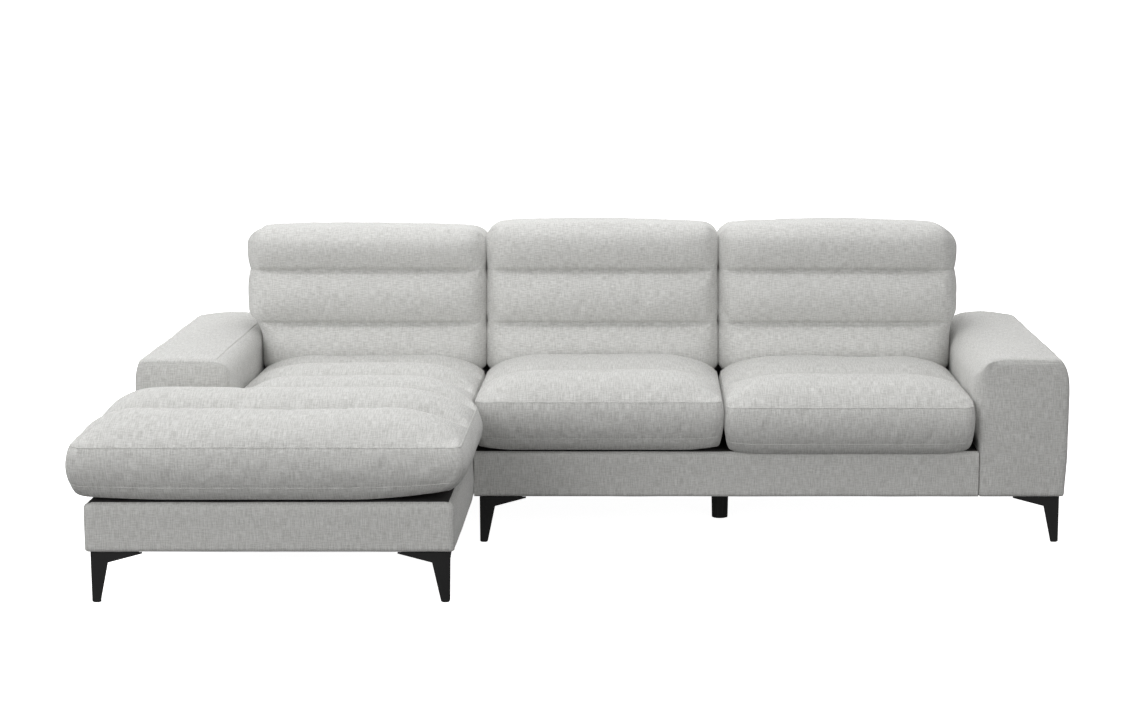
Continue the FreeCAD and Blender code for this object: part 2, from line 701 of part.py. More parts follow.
def glide(name, x_corner, y_corner, ways):
    """Make the square plastic glide that a leg stands on."""
    ends = []
    for corner, way in zip((x_corner, y_corner), ways):
        inner = f"{corner} {way} leg_lean"
        outer = f"{corner} {way} leg_lean {way} glide_width"
        ends.append((inner, outer) if way == "+" else (outer, inner))
    return block(name + "_glide", *ends, ("0", "glide_height"))


for spot in LEG_CORNERS:
    leg(*spot)
keep(group("leg_glides", [glide(*spot) for spot in LEG_CORNERS]), "leg_glides")
screws("leg_screws", leg_screw_places, "screw_seat")

centre_foot = doc.addObject("Part::Cone", "foot")
centre_foot.setExpression("Radius1", on_sheet("foot_bottom_radius"))
centre_foot.setExpression("Radius2", on_sheet("foot_top_radius"))
centre_foot.setExpression("Height", on_sheet("leg_height"))
place(centre_foot, "seat_split", "sofa_front + foot_setback", "0")
keep(centre_foot, "centre_foot")


def joining_plate(name, plate_place):
    """Make one flat steel plate that ties the two sections together from below."""
    sheet_metal = block(name + "_blank",
                        ("module_line - plate_length / 2", "module_line + plate_length / 2"),
                        (f"sofa_front + {plate_place} - plate_width / 2",
                         f"sofa_front + {plate_place} + plate_width / 2"),
                        ("base_bottom - plate_thickness", "base_bottom"))
    return cut(name, sheet_metal, holes)


keep(group("joining_plates", [
    joining_plate("front_joining_plate", "front_plate_place"),
    joining_plate("rear_joining_plate", "rear_plate_place"),
]), "joining_plates")
screws("joining_screws", plate_screw_places, "(base_bottom - plate_thickness)")


# Loose cushions

def rounding_stations(low, high, reach):
    """Give the places across a cushion where its section is drawn.

    Each is a place, how much of the corner rounding is left there, from 1 at a side to 0, and how
    much of the crown it has, from 0 to 1 at the middle.
    """
    turns = quarter_turn(3)
    left = [(low + reach * (1 - math.cos(turn)), 1 - math.sin(turn), 0) for turn in turns]
    right = [(high - reach * (1 - math.cos(turn)), 1 - math.sin(turn), 0) for turn in reversed(turns)]
    inside = [
        (low + reach + (high - low - 2 * reach) * share, 0, 1 - (2 * share - 1) ** 2)
        for share in (0.25, 0.5, 0.75)
    ]
    return left + inside + right


def profile_wire(across, points):
    """Join the points of a side profile with lines and shallow arcs.

    Each point is (y, z, swell). It is reached by a line where the swell is 0, and otherwise by an
    arc that stands out by the swell. The points go round clockwise, seen from the right.
    """
    edges = []
    for index, (along, height, swell) in enumerate(points):
        before = points[index - 1]
        start, end = Vector(across, before[0], before[1]), Vector(across, along, height)
        if swell:
            chord = end - start
            outwards = Vector(0, -chord.z, chord.y).normalize()
            edges.append(Part.Arc(start, (start + end) / 2 + outwards * swell, end).toShape())
        else:
            edges.append(Part.LineSegment(start, end).toShape())
    return Part.Wire(edges)


def seat_profile(across, corner, crown, front, creases):
    """Draw the side profile of a seat cushion at one place across it.

    corner is how much of the corner rounding is left there, and crown how much of the rise.
    """
    nose = front + corner * size("seat_side_rounding") + size("seat_nose_swell")
    bottom = size("deck_top") + size("soft_gap") + corner * size("seat_side_lift")
    crest = size("seat_crest") - (1 - crown) * size("seat_crown")
    side_crest = size("seat_seam") + size("seat_side_crest")
    crest -= corner * (crest - side_crest)
    crease_height = crest - size("channel_depth") * (1 - size("channel_fade") * corner)
    rear = size("back_face") - size("soft_gap")
    rest = size("seat_rear_top") - corner * size("seat_side_sag")
    rest_start = size("back_cushion_front")
    seam = size("seat_seam") - corner * size("seat_seam_sag")
    points = [
        (rear, bottom, 0),
        (nose + size("seat_side_rounding"), bottom, 0),
        (nose, size("seat_lower_seam"), size("seat_lower_swell")),
        (nose, seam, size("seat_nose_swell") * (1 + crown) / 2),
    ]
    before = size("seat_seam")
    for crease in creases:
        points.append((crease, crease_height, crest - (before + crease_height) / 2))
        before = crease_height
    points.append((rest_start, rest, (crest - rest) / 4))
    points.append((rear, rest, 0))
    return profile_wire(across, points)


def seat_form(low, high, front, creases):
    """Loft a crowned, channelled seat cushion."""
    wires = [
        seat_profile(across, corner, crown, front, creases)
        for across, corner, crown in rounding_stations(low, high, size("seat_corner"))
    ]
    return Part.makeLoft(wires, True, True)


def back_profile(across, corner, crown):
    """Draw the side profile of a back cushion at one place across it."""
    edge = size("back_cushion_corner")
    bottom = size("seat_rear_top") + size("soft_gap") + corner * size("back_side_lift")
    top = size("back_cushion_top") - corner * size("back_side_sag")
    rear = size("back_face") - size("soft_gap")
    foot = size("back_cushion_front") + corner * size("back_side_draw") - crown * size("back_cushion_crown")

    def front_at(height):
        share = (height - size("seat_rear_top")) / size("back_cushion_height")
        return foot + size("back_cushion_lean") * share

    left_over = 1 - size("channel_fade") * corner
    swell = size("back_panel_swell") * left_over
    depth = size("back_channel_depth") * left_over
    lower, upper = size("lower_channel"), size("upper_channel")
    points = [
        (rear, bottom, 0),
        (front_at(bottom) + edge, bottom, 0),
        (front_at(bottom + edge), bottom + edge, quarter_bend(edge)),
        (front_at(lower) + depth, lower, swell),
        (front_at(upper) + depth, upper, swell),
        (front_at(top - edge) + swell / 4, top - edge, swell),
        (front_at(top) + edge, top, quarter_bend(edge)),
        (rear, top - edge / 3, swell / 4),
    ]
    return profile_wire(across, points)


def back_form(low, high):
    """Loft a back cushion with its three sewn panels."""
    wires = [
        back_profile(*station)
        for station in rounding_stations(low, high, size("back_cushion_corner"))
    ]
    return Part.makeLoft(wires, True, True)


def form_feature(name, shape):
    """Put a lofted form into the document."""
    feature = doc.addObject("Part::Feature", name + "_form")
    feature.Shape = shape
    return feature


def cushion(name, form, foam_blocks):
    """Keep a cushion as its sewn cover, with room for the foam, and the foam inside it."""
    foam = [block(f"{name}_foam_{number}", *ends) for number, ends in enumerate(foam_blocks)]
    rooms = [
        block(f"{name}_room_{number}", *[(f"{low} - foam_gap", f"{high} + foam_gap") for low, high in ends])
        for number, ends in enumerate(foam_blocks)
    ]
    keep(cut(name + "_cover", form, group(name + "_room", rooms)), name + "_cover")
    core = foam[0]
    if len(foam) > 1:
        core = doc.addObject("Part::MultiFuse", name + "_foam_fuse")
        core.Shapes = foam
    keep(core, name + "_foam")


seat_foam_heights = ("deck_top + foam_skin", "seat_rear_top - foam_skin")
seat_foam_rear = "back_face - foam_inset"

# The chaise cushion is wide in front of the arm and narrow beside it.
chaise_nose = size("chaise_front") - size("cushion_front_overhang")
chaise_creases = [
    chaise_nose + size("chaise_first_panel") + size("chaise_panel") * number
    for number in range(CHAISE_CHANNELS)
]
chaise_form = form_feature("chaise_seat_cushion", seat_form(
    size("left_outer") - size("cushion_side_overhang"), size("module_line") - size("soft_gap"),
    chaise_nose, chaise_creases))
beside_arm = block("beside_arm", ("left_outer - arm_width", "left_arm_face + soft_gap"),
                   ("sofa_front - soft_gap", "sofa_back"), ("base_bottom", "back_cushion_top"))
chaise_form = cut("chaise_arm_notch", chaise_form, beside_arm)
cushion("chaise_seat_cushion", chaise_form, (
    (("left_outer + foam_inset", "module_line - foam_inset"),
     ("chaise_front + foam_inset", "sofa_front - foam_inset"), seat_foam_heights),
    (("left_arm_face + foam_inset", "module_line - foam_inset"),
     ("sofa_front - foam_inset", seat_foam_rear), seat_foam_heights),
))

SEATS = (
    ("middle_seat_cushion", "module_line + soft_gap", "seat_split - soft_gap"),
    ("right_seat_cushion", "seat_split + soft_gap", "right_arm_face - soft_gap"),
)
for name, low, high in SEATS:
    nose = size("sofa_front") - size("seat_front_overhang")
    form = form_feature(name, seat_form(
        sheet.evalExpression(on_sheet(low)), sheet.evalExpression(on_sheet(high)), nose,
        [nose + size("seat_first_panel")]))
    cushion(name, form, (
        ((f"{low} + foam_inset", f"{high} - foam_inset"), ("sofa_front + foam_inset / 2", seat_foam_rear),
         seat_foam_heights),
    ))

BACKS = (
    ("chaise_back_cushion", "left_arm_inner - left_back_cushion_outset", "module_line - soft_gap"),
    ("middle_back_cushion", "module_line + soft_gap", "seat_split - soft_gap"),
    ("right_back_cushion", "seat_split + soft_gap", "right_arm_inner - right_back_cushion_inset"),
)
over_left_arm = block("over_left_arm", ("left_outer", "left_arm_face + soft_gap"),
                      ("sofa_front", "sofa_back"), ("base_bottom", "arm_height + soft_gap"))
over_right_arm = block("over_right_arm", ("right_arm_face - soft_gap", "right_outer"),
                       ("sofa_front", "sofa_back"), ("base_bottom", "arm_height + soft_gap"))
ARM_ROOMS = {"chaise_back_cushion": over_left_arm, "right_back_cushion": over_right_arm}
for name, low, high in BACKS:
    form = form_feature(name, back_form(
        sheet.evalExpression(on_sheet(low)), sheet.evalExpression(on_sheet(high))))
    if name in ARM_ROOMS:
        form = cut(name + "_arm_notch", form, ARM_ROOMS[name])
    cushion(name, form, (
        ((f"{low} + back_foam_inset", f"{high} - back_foam_inset"),
         ("back_cushion_front + foam_inset", "back_face - foam_skin"),
         ("seat_rear_top + foam_skin", "back_cushion_top - foam_inset")),
    ))

doc.recompute()

for item in doc.Objects:
    if "Invalid" in item.State or "Error" in item.State:
        raise RuntimeError(f"{item.Label} failed: {item.State}")

os.makedirs("parts", exist_ok=True)
for item in nodes:
    shape = item.Shape
    if shape.isNull() or not shape.isValid() or not shape.Solids:
        raise RuntimeError(f"{item.Label} has no sound shape")
    shape.exportStep(f"parts/{item.Label}.step")
print(len(nodes), "nodes")
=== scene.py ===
"""Looks of a sectional sofa: loose cushions, padded arms, a covered base and black steel legs.

All lengths are metres in the sofa's own frame: +Z up, -Y to the front, +X to the right of someone who
faces the sofa. The origin is on the floor, under the middle of the sofa.
"""

import itertools
import json
import logging
import math
from dataclasses import dataclass, field
from enum import Enum
from typing import Callable, Iterable, Sequence

import bmesh
import bpy
import numpy as np
from mathutils import Matrix, Vector
from mathutils.bvhtree import BVHTree


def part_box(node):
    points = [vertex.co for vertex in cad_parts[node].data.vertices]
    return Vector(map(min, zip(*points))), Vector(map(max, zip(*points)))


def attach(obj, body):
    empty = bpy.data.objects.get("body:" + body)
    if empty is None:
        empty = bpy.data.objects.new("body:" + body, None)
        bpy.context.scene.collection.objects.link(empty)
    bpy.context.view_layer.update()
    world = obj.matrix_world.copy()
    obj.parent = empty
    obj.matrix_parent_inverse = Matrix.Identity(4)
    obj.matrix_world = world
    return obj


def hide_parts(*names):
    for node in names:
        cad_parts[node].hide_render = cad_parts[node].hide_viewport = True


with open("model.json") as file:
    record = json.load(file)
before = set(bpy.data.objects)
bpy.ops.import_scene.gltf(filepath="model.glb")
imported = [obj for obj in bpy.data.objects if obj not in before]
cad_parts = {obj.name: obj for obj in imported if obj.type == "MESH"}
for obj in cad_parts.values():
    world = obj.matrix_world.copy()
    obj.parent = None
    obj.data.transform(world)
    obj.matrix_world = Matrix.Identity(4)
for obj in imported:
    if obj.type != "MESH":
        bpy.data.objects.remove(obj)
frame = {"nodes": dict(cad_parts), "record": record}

Array = np.ndarray
Point = tuple[float, float, float]
LOG = logging.getLogger("sofa")
CLOTH_MAP = "cloth"
CUT = "cut"
NEAR = 1e-4


class Axis(Enum):
    """The three axes, by their column in a table of points."""

    X = 0
    Y = 1
    Z = 2


# Numbers and shapes


def ease(value: Array, low: float, high: float) -> Array:
    """Blend smoothly from 0 at low to 1 at high.

    Args:
        value: The numbers to blend.
        low: Where the blend is 0.
        high: Where the blend is 1, which may be under low.

    Returns:
        The blend at each number.
    """
    share = np.clip((value - low) / (high - low), 0, 1)
    return share * share * (3 - 2 * share)


def lattice_noise(points: Array, seed: int) -> Array:
    """Give smooth noise whose cells are one unit long.

    Args:
        points: Places, one row of three numbers each.
        seed: Picks one noise among many.

    Returns:
        A number from -1 to 1 at each place.
    """
    cell = np.floor(points).astype(np.int64)
    share = points - cell
    share = share * share * (3 - 2 * share)
    total = np.zeros(len(points))
    for corner in itertools.product((0, 1), repeat=3):
        key = cell + np.array(corner)
        mixed = key[:, 0] * 73856093 ^ key[:, 1] * 19349663 ^ key[:, 2] * 83492791 ^ seed * 2654435
        mixed = (mixed ^ mixed >> 13) * 12741261 & 0xFFFFFFFF
        value = (mixed ^ mixed >> 15) & 0xFFFF
        weight = np.prod(np.where(np.array(corner) == 1, share, 1 - share), axis=1)
        total += weight * (value / 32767.5 - 1)
    return total


def ruled_lines(marks: Iterable[float], pitch: float) -> Array:
    """Rule grid lines through every mark, with even lines between.

    Args:
        marks: Places that must have a line.
        pitch: The widest step between two lines.

    Returns:
        The places of the lines, in order.
    """
    ordered = sorted(set(round(mark, 6) for mark in marks))
    lines = [ordered[0]]
    for low, high in zip(ordered, ordered[1:]):
        steps = max(1, math.ceil((high - low) / pitch - 1e-6))
        lines += [low + (high - low) * step / steps for step in range(1, steps + 1)]
    return np.array(lines)


@dataclass(frozen=True)
class Face:
    """One flat face of a block before it is shaped."""

    axis: Axis
    place: float
    way: int

    def depth(self, points: Array) -> Array:
        """Give how far points lie inside the face."""
        return (self.place - points[:, self.axis.value]) * self.way

    def holds(self, points: Array) -> Array:
        """Tell which points lie on the face."""
        return np.abs(self.depth(points)) < NEAR


def box_faces(low: Sequence[float], high: Sequence[float]) -> dict[str, Face]:
    """Give the six faces of a block by the side that each looks to."""
    return {
        "left": Face(Axis.X, low[0], -1), "right": Face(Axis.X, high[0], 1),
        "front": Face(Axis.Y, low[1], -1), "rear": Face(Axis.Y, high[1], 1),
        "bottom": Face(Axis.Z, low[2], -1), "top": Face(Axis.Z, high[2], 1),
    }


def round_edge(points: Array, first: Face, second: Face, radius: float,
               where: Array | None = None) -> None:
    """Round the edge between two faces of a block, in place.

    Args:
        points: The block's points, which are moved.
        first: One face.
        second: The other face.
        radius: The radius of the rounded edge.
        where: Which points may move, or None for all.
    """
    near = [np.clip(1 - face.depth(points) / radius, 0, 1) for face in (first, second)]
    for face, own, other in ((first, *near), (second, *reversed(near))):
        move = face.way * radius * (own * np.sqrt(1 - other * other / 2) - own)
        points[:, face.axis.value] += move if where is None else np.where(where, move, 0)


def round_edges(points: Array, faces: dict[str, Face], edges: Iterable[tuple[str, str, float]]) -> None:
    """Round several edges of a block, one after another, in place.

    Args:
        points: The block's points, which are moved.
        faces: The block's faces by name.
        edges: For each edge, the names of its two faces and its radius.
    """
    for first, second, radius in edges:
        round_edge(points, faces[first], faces[second], radius)


@dataclass(frozen=True)
class Channel:
    """A sewn channel: a narrow groove with puckers beside it."""

    depth: float
    width: float
    sharpness: float
    pucker: float
    spacing: float
    pucker_reach: float = 0.03
    pucker_length: float = 0.05
    pucker_start: float = 0.006

    def press(self, along: Array, off: Array, fade: Array, number: int, seed: int) -> Array:
        """Give how far the channel moves the cloth out.

        Args:
            along: How far each point lies along the channel.
            off: How far each point lies beside it.
            fade: How much of the groove is reached at each point.
            number: The channel's number, which varies its puckers.
            seed: Picks one noise among many.

        Returns:
            The move of each point, which is negative in the groove.
        """
        place = np.c_[along / self.spacing, off / self.pucker_length, np.full(len(off), number)]
        beside = np.exp(-off / self.pucker_reach) * ease(off, 0.0, self.pucker_start)
        groove = np.exp(-(off / self.width) ** self.sharpness)
        return self.pucker * lattice_noise(place, seed) * beside - self.depth * fade * groove


@dataclass(frozen=True)
class Side:
    """One straight side of a cushion's plan, and how the fabric behaves along it.

    The sides of a plan run anticlockwise, seen from above.
    """

    start: tuple[float, float]
    end: tuple[float, float]
    tuck: float
    bulge: float
    reach: float
    power: float = 2.3
    roll: float = 1.0

    def outward(self) -> Array:
        """Give the direction out of the cushion, square to the side."""
        along = np.subtract(self.end, self.start)
        return np.array([along[1], -along[0]]) / np.linalg.norm(along)

    def distance(self, plan: Array) -> Array:
        """Give how far places in the plan lie from the side."""
        start = np.array(self.start)
        along = np.subtract(self.end, self.start)
        share = np.clip(((plan - start) @ along) / (along @ along), 0, 1)
        return np.linalg.norm(plan - start - share[:, None] * along, axis=1)


@dataclass
class GridBlock:
    """A closed block of fabric, ruled into a grid, before it is stuffed."""

    across: Array
    along: Array
    up: Array
    inside: Callable[[float, float], bool] = lambda across, along: True
    turn: tuple[int, int, int] = (0, 1, 2)

    def build(self) -> tuple[Array, list[tuple[int, ...]], list[int]]:
        """Make the block's points and faces.

        Returns:
            The points, the faces, which point outwards, and for each face the axis that it is square to.
        """
        count_u, count_v, top = len(self.across), len(self.along), len(self.up) - 1
        cells = np.zeros((count_u + 1, count_v + 1), bool)
        for u, v in itertools.product(range(count_u - 1), range(count_v - 1)):
            middle_u = (self.across[u] + self.across[u + 1]) / 2
            middle_v = (self.along[v] + self.along[v + 1]) / 2
            cells[u + 1, v + 1] = self.inside(middle_u, middle_v)
        points: list[Point] = []
        index: dict[tuple[int, int, int], int] = {}

        def at(u: int, v: int, level: int) -> int:
            """Give the number of a grid point, made when it is first asked for."""
            key = (u, v, level)
            if key not in index:
                index[key] = len(points)
                points.append((self.across[u], self.along[v], self.up[level]))
            return index[key]

        faces: list[tuple[int, ...]] = []
        panels: list[int] = []
        for u, v in itertools.product(range(count_u - 1), range(count_v - 1)):
            if not cells[u + 1, v + 1]:
                continue
            faces.append((at(u, v, top), at(u + 1, v, top), at(u + 1, v + 1, top), at(u, v + 1, top)))
            faces.append((at(u, v, 0), at(u, v + 1, 0), at(u + 1, v + 1, 0), at(u + 1, v, 0)))
            panels += [self.turn[2]] * 2
            borders = (
                (cells[u, v + 1], (u, v + 1), (u, v), 0),
                (cells[u + 2, v + 1], (u + 1, v), (u + 1, v + 1), 0),
                (cells[u + 1, v], (u, v), (u + 1, v), 1),
                (cells[u + 1, v + 2], (u + 1, v + 1), (u, v + 1), 1),
            )
            for joined, first, second, axis in borders:
                if joined:
                    continue
                for level in range(top):
                    faces.append((at(*first, level), at(*second, level),
                                  at(*second, level + 1), at(*first, level + 1)))
                    panels.append(self.turn[axis])
        table = np.array(points)
        turned = np.empty_like(table)
        for column, axis in enumerate(self.turn):
            turned[:, axis] = table[:, column]
        return turned, faces, panels


def collection_link(thing: bpy.types.Object) -> bpy.types.Object:
    """Put an object into the scene."""
    bpy.context.scene.collection.objects.link(thing)
    return thing


def fabric_object(name: str, cut: Array, shaped: Array, faces: Sequence[tuple[int, ...]],
                  panels: Sequence[int], crosswise: bool = False) -> bpy.types.Object:
    """Make a mesh object that keeps each point's place in the uncut cloth.

    Args:
        name: The object's name.
        cut: Where each point lies on the block before it is shaped.
        shaped: Where each point lies on the finished form.
        faces: The faces.
        panels: For each face, the axis that it was square to.
        crosswise: Whether the cloth's warp runs across the panels.

    Returns:
        The object, with the cloth's own map in metres.
    """
    mesh = bpy.data.meshes.new(name)
    mesh.from_pydata(shaped.tolist(), [], [list(face) for face in faces])
    mesh.attributes.new(CUT, "FLOAT_VECTOR", "POINT").data.foreach_set("vector", cut.ravel())
    columns = {0: (1, 2), 1: (0, 2), 2: (0, 1)}
    corners = np.array([corner for face in faces for corner in face])
    sides = np.array([panel for face, panel in zip(faces, panels) for _ in face])
    place = np.empty((len(corners), 2))
    for axis, (first, second) in columns.items():
        chosen = sides == axis
        order = (second, first) if crosswise else (first, second)
        place[chosen] = cut[corners[chosen]][:, order]
    mesh.uv_layers.new(name=CLOTH_MAP).data.foreach_set("uv", place.ravel())
    mesh.shade_smooth()
    return collection_link(bpy.data.objects.new(name, mesh))


def mesh_points(mesh: bpy.types.Mesh) -> Array:
    """Give a mesh's points as a table."""
    table = np.empty(len(mesh.vertices) * 3)
    mesh.vertices.foreach_get("co", table)
    return table.reshape(-1, 3)


def cut_points(mesh: bpy.types.Mesh) -> Array:
    """Give where each point of a fabric mesh lies in the uncut cloth."""
    table = np.empty(len(mesh.vertices) * 3)
    mesh.attributes[CUT].data.foreach_get("vector", table)
    return table.reshape(-1, 3)


def mesh_normals(mesh: bpy.types.Mesh) -> Array:
    """Give the direction out of a mesh at each of its points."""
    table = np.empty(len(mesh.vertices) * 3)
    mesh.vertex_normals.foreach_get("vector", table)
    return table.reshape(-1, 3)


def set_points(mesh: bpy.types.Mesh, points: Array) -> None:
    """Move a mesh's points."""
    mesh.vertices.foreach_set("co", points.ravel())
    mesh.update()


def bake_modifiers(thing: bpy.types.Object) -> bpy.types.Object:
    """Turn an object with modifiers into a plain mesh of the same form."""
    graph = bpy.context.evaluated_depsgraph_get()
    mesh = bpy.data.meshes.new_from_object(thing.evaluated_get(graph), preserve_all_data_layers=True,
                                           depsgraph=graph)
    thing.modifiers.clear()
    thing.data = mesh
    mesh.name = thing.name
    return thing


def subdivide(thing: bpy.types.Object) -> bpy.types.Object:
    """Divide each face of a mesh into four and smooth it."""
    modifier = thing.modifiers.new("Subdivision", "SUBSURF")
    modifier.levels = modifier.render_levels = 1
    return bake_modifiers(thing)


def soften_edges(thing: bpy.types.Object, width: float) -> bpy.types.Object:
    """Round the sharp edges of a rigid piece."""
    bevel = thing.modifiers.new("Edges", "BEVEL")
    bevel.width = width
    bevel.segments = 2
    bevel.limit_method = "ANGLE"
    bevel.angle_limit = math.radians(35)
    return bake_modifiers(thing)


@dataclass
class Inflation:
    """A short cloth simulation that lets air into a sewn cover."""

    pressure: float = 4.0
    frames: int = 14
    cap: float = 0.006
    growth: float = 0.012

    def run(self, thing: bpy.types.Object, held: Array) -> None:
        """Inflate a cover between the points that its seams hold.

        Args:
            thing: The cover, whose mesh is changed.
            held: How firmly each point is held, from 0 to 1.
        """
        rest = mesh_points(thing.data)
        group = thing.vertex_groups.new(name="held")
        for level in np.unique(np.round(held, 2)):
            if level > 0:
                chosen = np.nonzero(np.round(held, 2) == level)[0]
                group.add(chosen.tolist(), float(level), "REPLACE")
        modifier = thing.modifiers.new("Cloth", "CLOTH")
        cloth = modifier.settings
        cloth.quality = 3
        cloth.mass = 0.4
        cloth.tension_stiffness = cloth.compression_stiffness = 12
        cloth.shear_stiffness = 4
        cloth.bending_stiffness = 0.6
        cloth.shrink_min = -self.growth
        cloth.use_pressure = True
        cloth.uniform_pressure_force = self.pressure
        cloth.vertex_group_mass = group.name
        cloth.effector_weights.gravity = 0
        modifier.collision_settings.use_collision = False
        modifier.point_cache.frame_start = 1
        modifier.point_cache.frame_end = self.frames
        for step in range(1, self.frames + 1):
            bpy.context.scene.frame_set(step)
        graph = bpy.context.evaluated_depsgraph_get()
        moved = mesh_points(thing.evaluated_get(graph).data)
        thing.modifiers.clear()
        thing.vertex_groups.clear()
        bpy.context.scene.frame_set(1)
        move = moved - rest
        length = np.linalg.norm(move, axis=1, keepdims=True)
        limited = self.cap * np.tanh(length / self.cap) / np.maximum(length, 1e-9)
        set_points(thing.data, rest + move * limited)


# Finishes


class Wire:
    """One output of a shader node, on which sums can be written."""

    def __init__(self, shader: "ShaderTree", socket: bpy.types.NodeSocket) -> None:
        """Keep the shader and the socket."""
        self.shader = shader
        self.socket = socket

    def _with(self, operation: str, first: "Wire | float", second: "Wire | float") -> "Wire":
        """Add a Math node for one operation."""
        return self.shader.node("ShaderNodeMath", {"operation": operation}, {0: first, 1: second}).out(0)

    def __add__(self, other: "Wire | float") -> "Wire":
        """Add."""
        return self._with("ADD", self, other)

    def __sub__(self, other: "Wire | float") -> "Wire":
        """Subtract."""
        return self._with("SUBTRACT", self, other)

    def __mul__(self, other: "Wire | float") -> "Wire":
        """Multiply."""
        return self._with("MULTIPLY", self, other)

    def wave(self) -> "Wire":
        """Give the sine."""
        return self._with("SINE", self, 0.0)

    def size(self) -> "Wire":
        """Give the number without its sign."""
        return self._with("ABSOLUTE", self, 0.0)


class Node:
    """A shader node whose outputs are read as wires."""

    def __init__(self, shader: "ShaderTree", node: bpy.types.Node) -> None:
        """Keep the shader and the node."""
        self.shader = shader
        self.node = node

    def out(self, key: int | str = 0) -> Wire:
        """Give one output."""
        return Wire(self.shader, self.node.outputs[key])


class ShaderTree:
    """A material under construction."""

    def __init__(self, name: str) -> None:
        """Start a material that holds only its output."""
        self.material = bpy.data.materials.new(name)
        self.material.use_nodes = True
        self.tree = self.material.node_tree
        self.tree.nodes.clear()

    def node(self, kind: str, settings: dict[str, object], inputs: dict[int | str, object]) -> Node:
        """Add a node.

        Args:
            kind: The node's type.
            settings: The node's own properties, which are set first.
            inputs: For each input, a value or a wire.

        Returns:
            The node.
        """
        made = self.tree.nodes.new(kind)
        for key, value in settings.items():
            setattr(made, key, value)
        for key, value in inputs.items():
            if isinstance(value, Wire):
                self.tree.links.new(value.socket, made.inputs[key])
            else:
                made.inputs[key].default_value = value
        return Node(self, made)

    def place(self) -> Wire:
        """Give the place on the object, in metres."""
        return self.node("ShaderNodeTexCoord", {}, {}).out("Object")

    def parts(self, place: Wire) -> list[Wire]:
        """Split a place into its three numbers."""
        split = self.node("ShaderNodeSeparateXYZ", {}, {0: place})
        return [split.out(column) for column in range(3)]

    def blend(self, share: Wire | float, first: Point, second: Point) -> Wire:
        """Mix two colours."""
        mixed = self.node("ShaderNodeMix", {"data_type": "RGBA"},
                          {0: share, 6: (*first, 1), 7: (*second, 1)})
        return mixed.out(2)

    def range(self, value: Wire, low: float, high: float, to_low: float = 0.0,
              to_high: float = 1.0) -> Wire:
        """Map a range of numbers smoothly on another."""
        mapped = self.node("ShaderNodeMapRange", {"interpolation_type": "SMOOTHSTEP"},
                           {0: value, 1: low, 2: high, 3: to_low, 4: to_high})
        return mapped.out(0)

    def noise(self, place: Wire, scale: float, detail: float = 2.0, rough: float = 0.5) -> Wire:
        """Add a noise texture that reads a place."""
        made = self.node("ShaderNodeTexNoise", {}, {"Vector": place, "Scale": scale, "Detail": detail,
                                                    "Roughness": rough})
        return made.out(0)

    def stretched(self, place: Wire, scale: Point) -> Wire:
        """Scale a place by a different amount along each axis."""
        made = self.node("ShaderNodeMapping", {}, {"Vector": place, "Scale": scale})
        return made.out(0)

    def bump(self, height: Wire, strength: float, depth: float) -> Wire:
        """Turn a height into relief of a given depth in metres."""
        made = self.node("ShaderNodeBump", {}, {"Strength": strength, "Distance": depth, "Height": height})
        return made.out()

    def finish(self, inputs: dict[str, object]) -> bpy.types.Material:
        """Join a surface with the given inputs to the material's output."""
        surface = self.node("ShaderNodeBsdfPrincipled", {}, inputs)
        self.node("ShaderNodeOutputMaterial", {}, {0: surface.out()})
        return self.material


@dataclass(frozen=True)
class Weave:
    """A plain chenille weave with thick and thin yarns."""

    name: str
    light: Point
    dark: Point
    yarn: float = 0.0025
    warp_width: float = 0.0025
    warp_length: float = 0.034
    weft_width: float = 0.0027
    weft_length: float = 0.024
    fuzz_scale: float = 300.0
    cloud_scale: float = 7.0
    cloud: float = 0.07
    relief: float = 0.0009
    bump: float = 0.7
    sheen: float = 0.30

    def build(self) -> bpy.types.Material:
        """Make the material.

        Returns:
            A material that follows the cloth's own map.
        """
        shader = ShaderTree(self.name)
        place = shader.node("ShaderNodeUVMap", {"uv_map": CLOTH_MAP}, {}).out()
        warp_place = shader.stretched(place, (1 / self.warp_width, 1 / self.warp_length, 1))
        weft_place = shader.stretched(place, (1 / self.weft_length, 1 / self.weft_width, 1))
        warp = shader.range(shader.noise(warp_place, 1, 2, 0.6), 0.36, 0.64)
        weft = shader.range(shader.noise(weft_place, 1, 2, 0.6), 0.36, 0.64)
        fuzz = shader.range(shader.noise(place, self.fuzz_scale, 3, 0.65), 0.34, 0.66)
        clouds = shader.noise(place, self.cloud_scale, 3, 0.5)
        across, along, _ = shader.parts(place)
        turn = math.pi / self.yarn
        check = (across * turn).wave().size() * (along * turn).wave().size()
        tone = warp * 0.42 + weft * 0.32 + fuzz * 0.16 + check * 0.1 + (clouds - 0.5) * self.cloud
        height = warp * 0.38 + weft * 0.32 + check * 0.45 + fuzz * 0.12
        return shader.finish({
            "Base Color": shader.blend(tone, self.dark, self.light),
            "Roughness": shader.range(fuzz, 0, 1, 0.86, 0.97),
            "Specular IOR Level": 0.2, "Sheen Weight": self.sheen, "Sheen Roughness": 0.4,
            "Normal": shader.bump(height, self.bump, self.relief),
        })


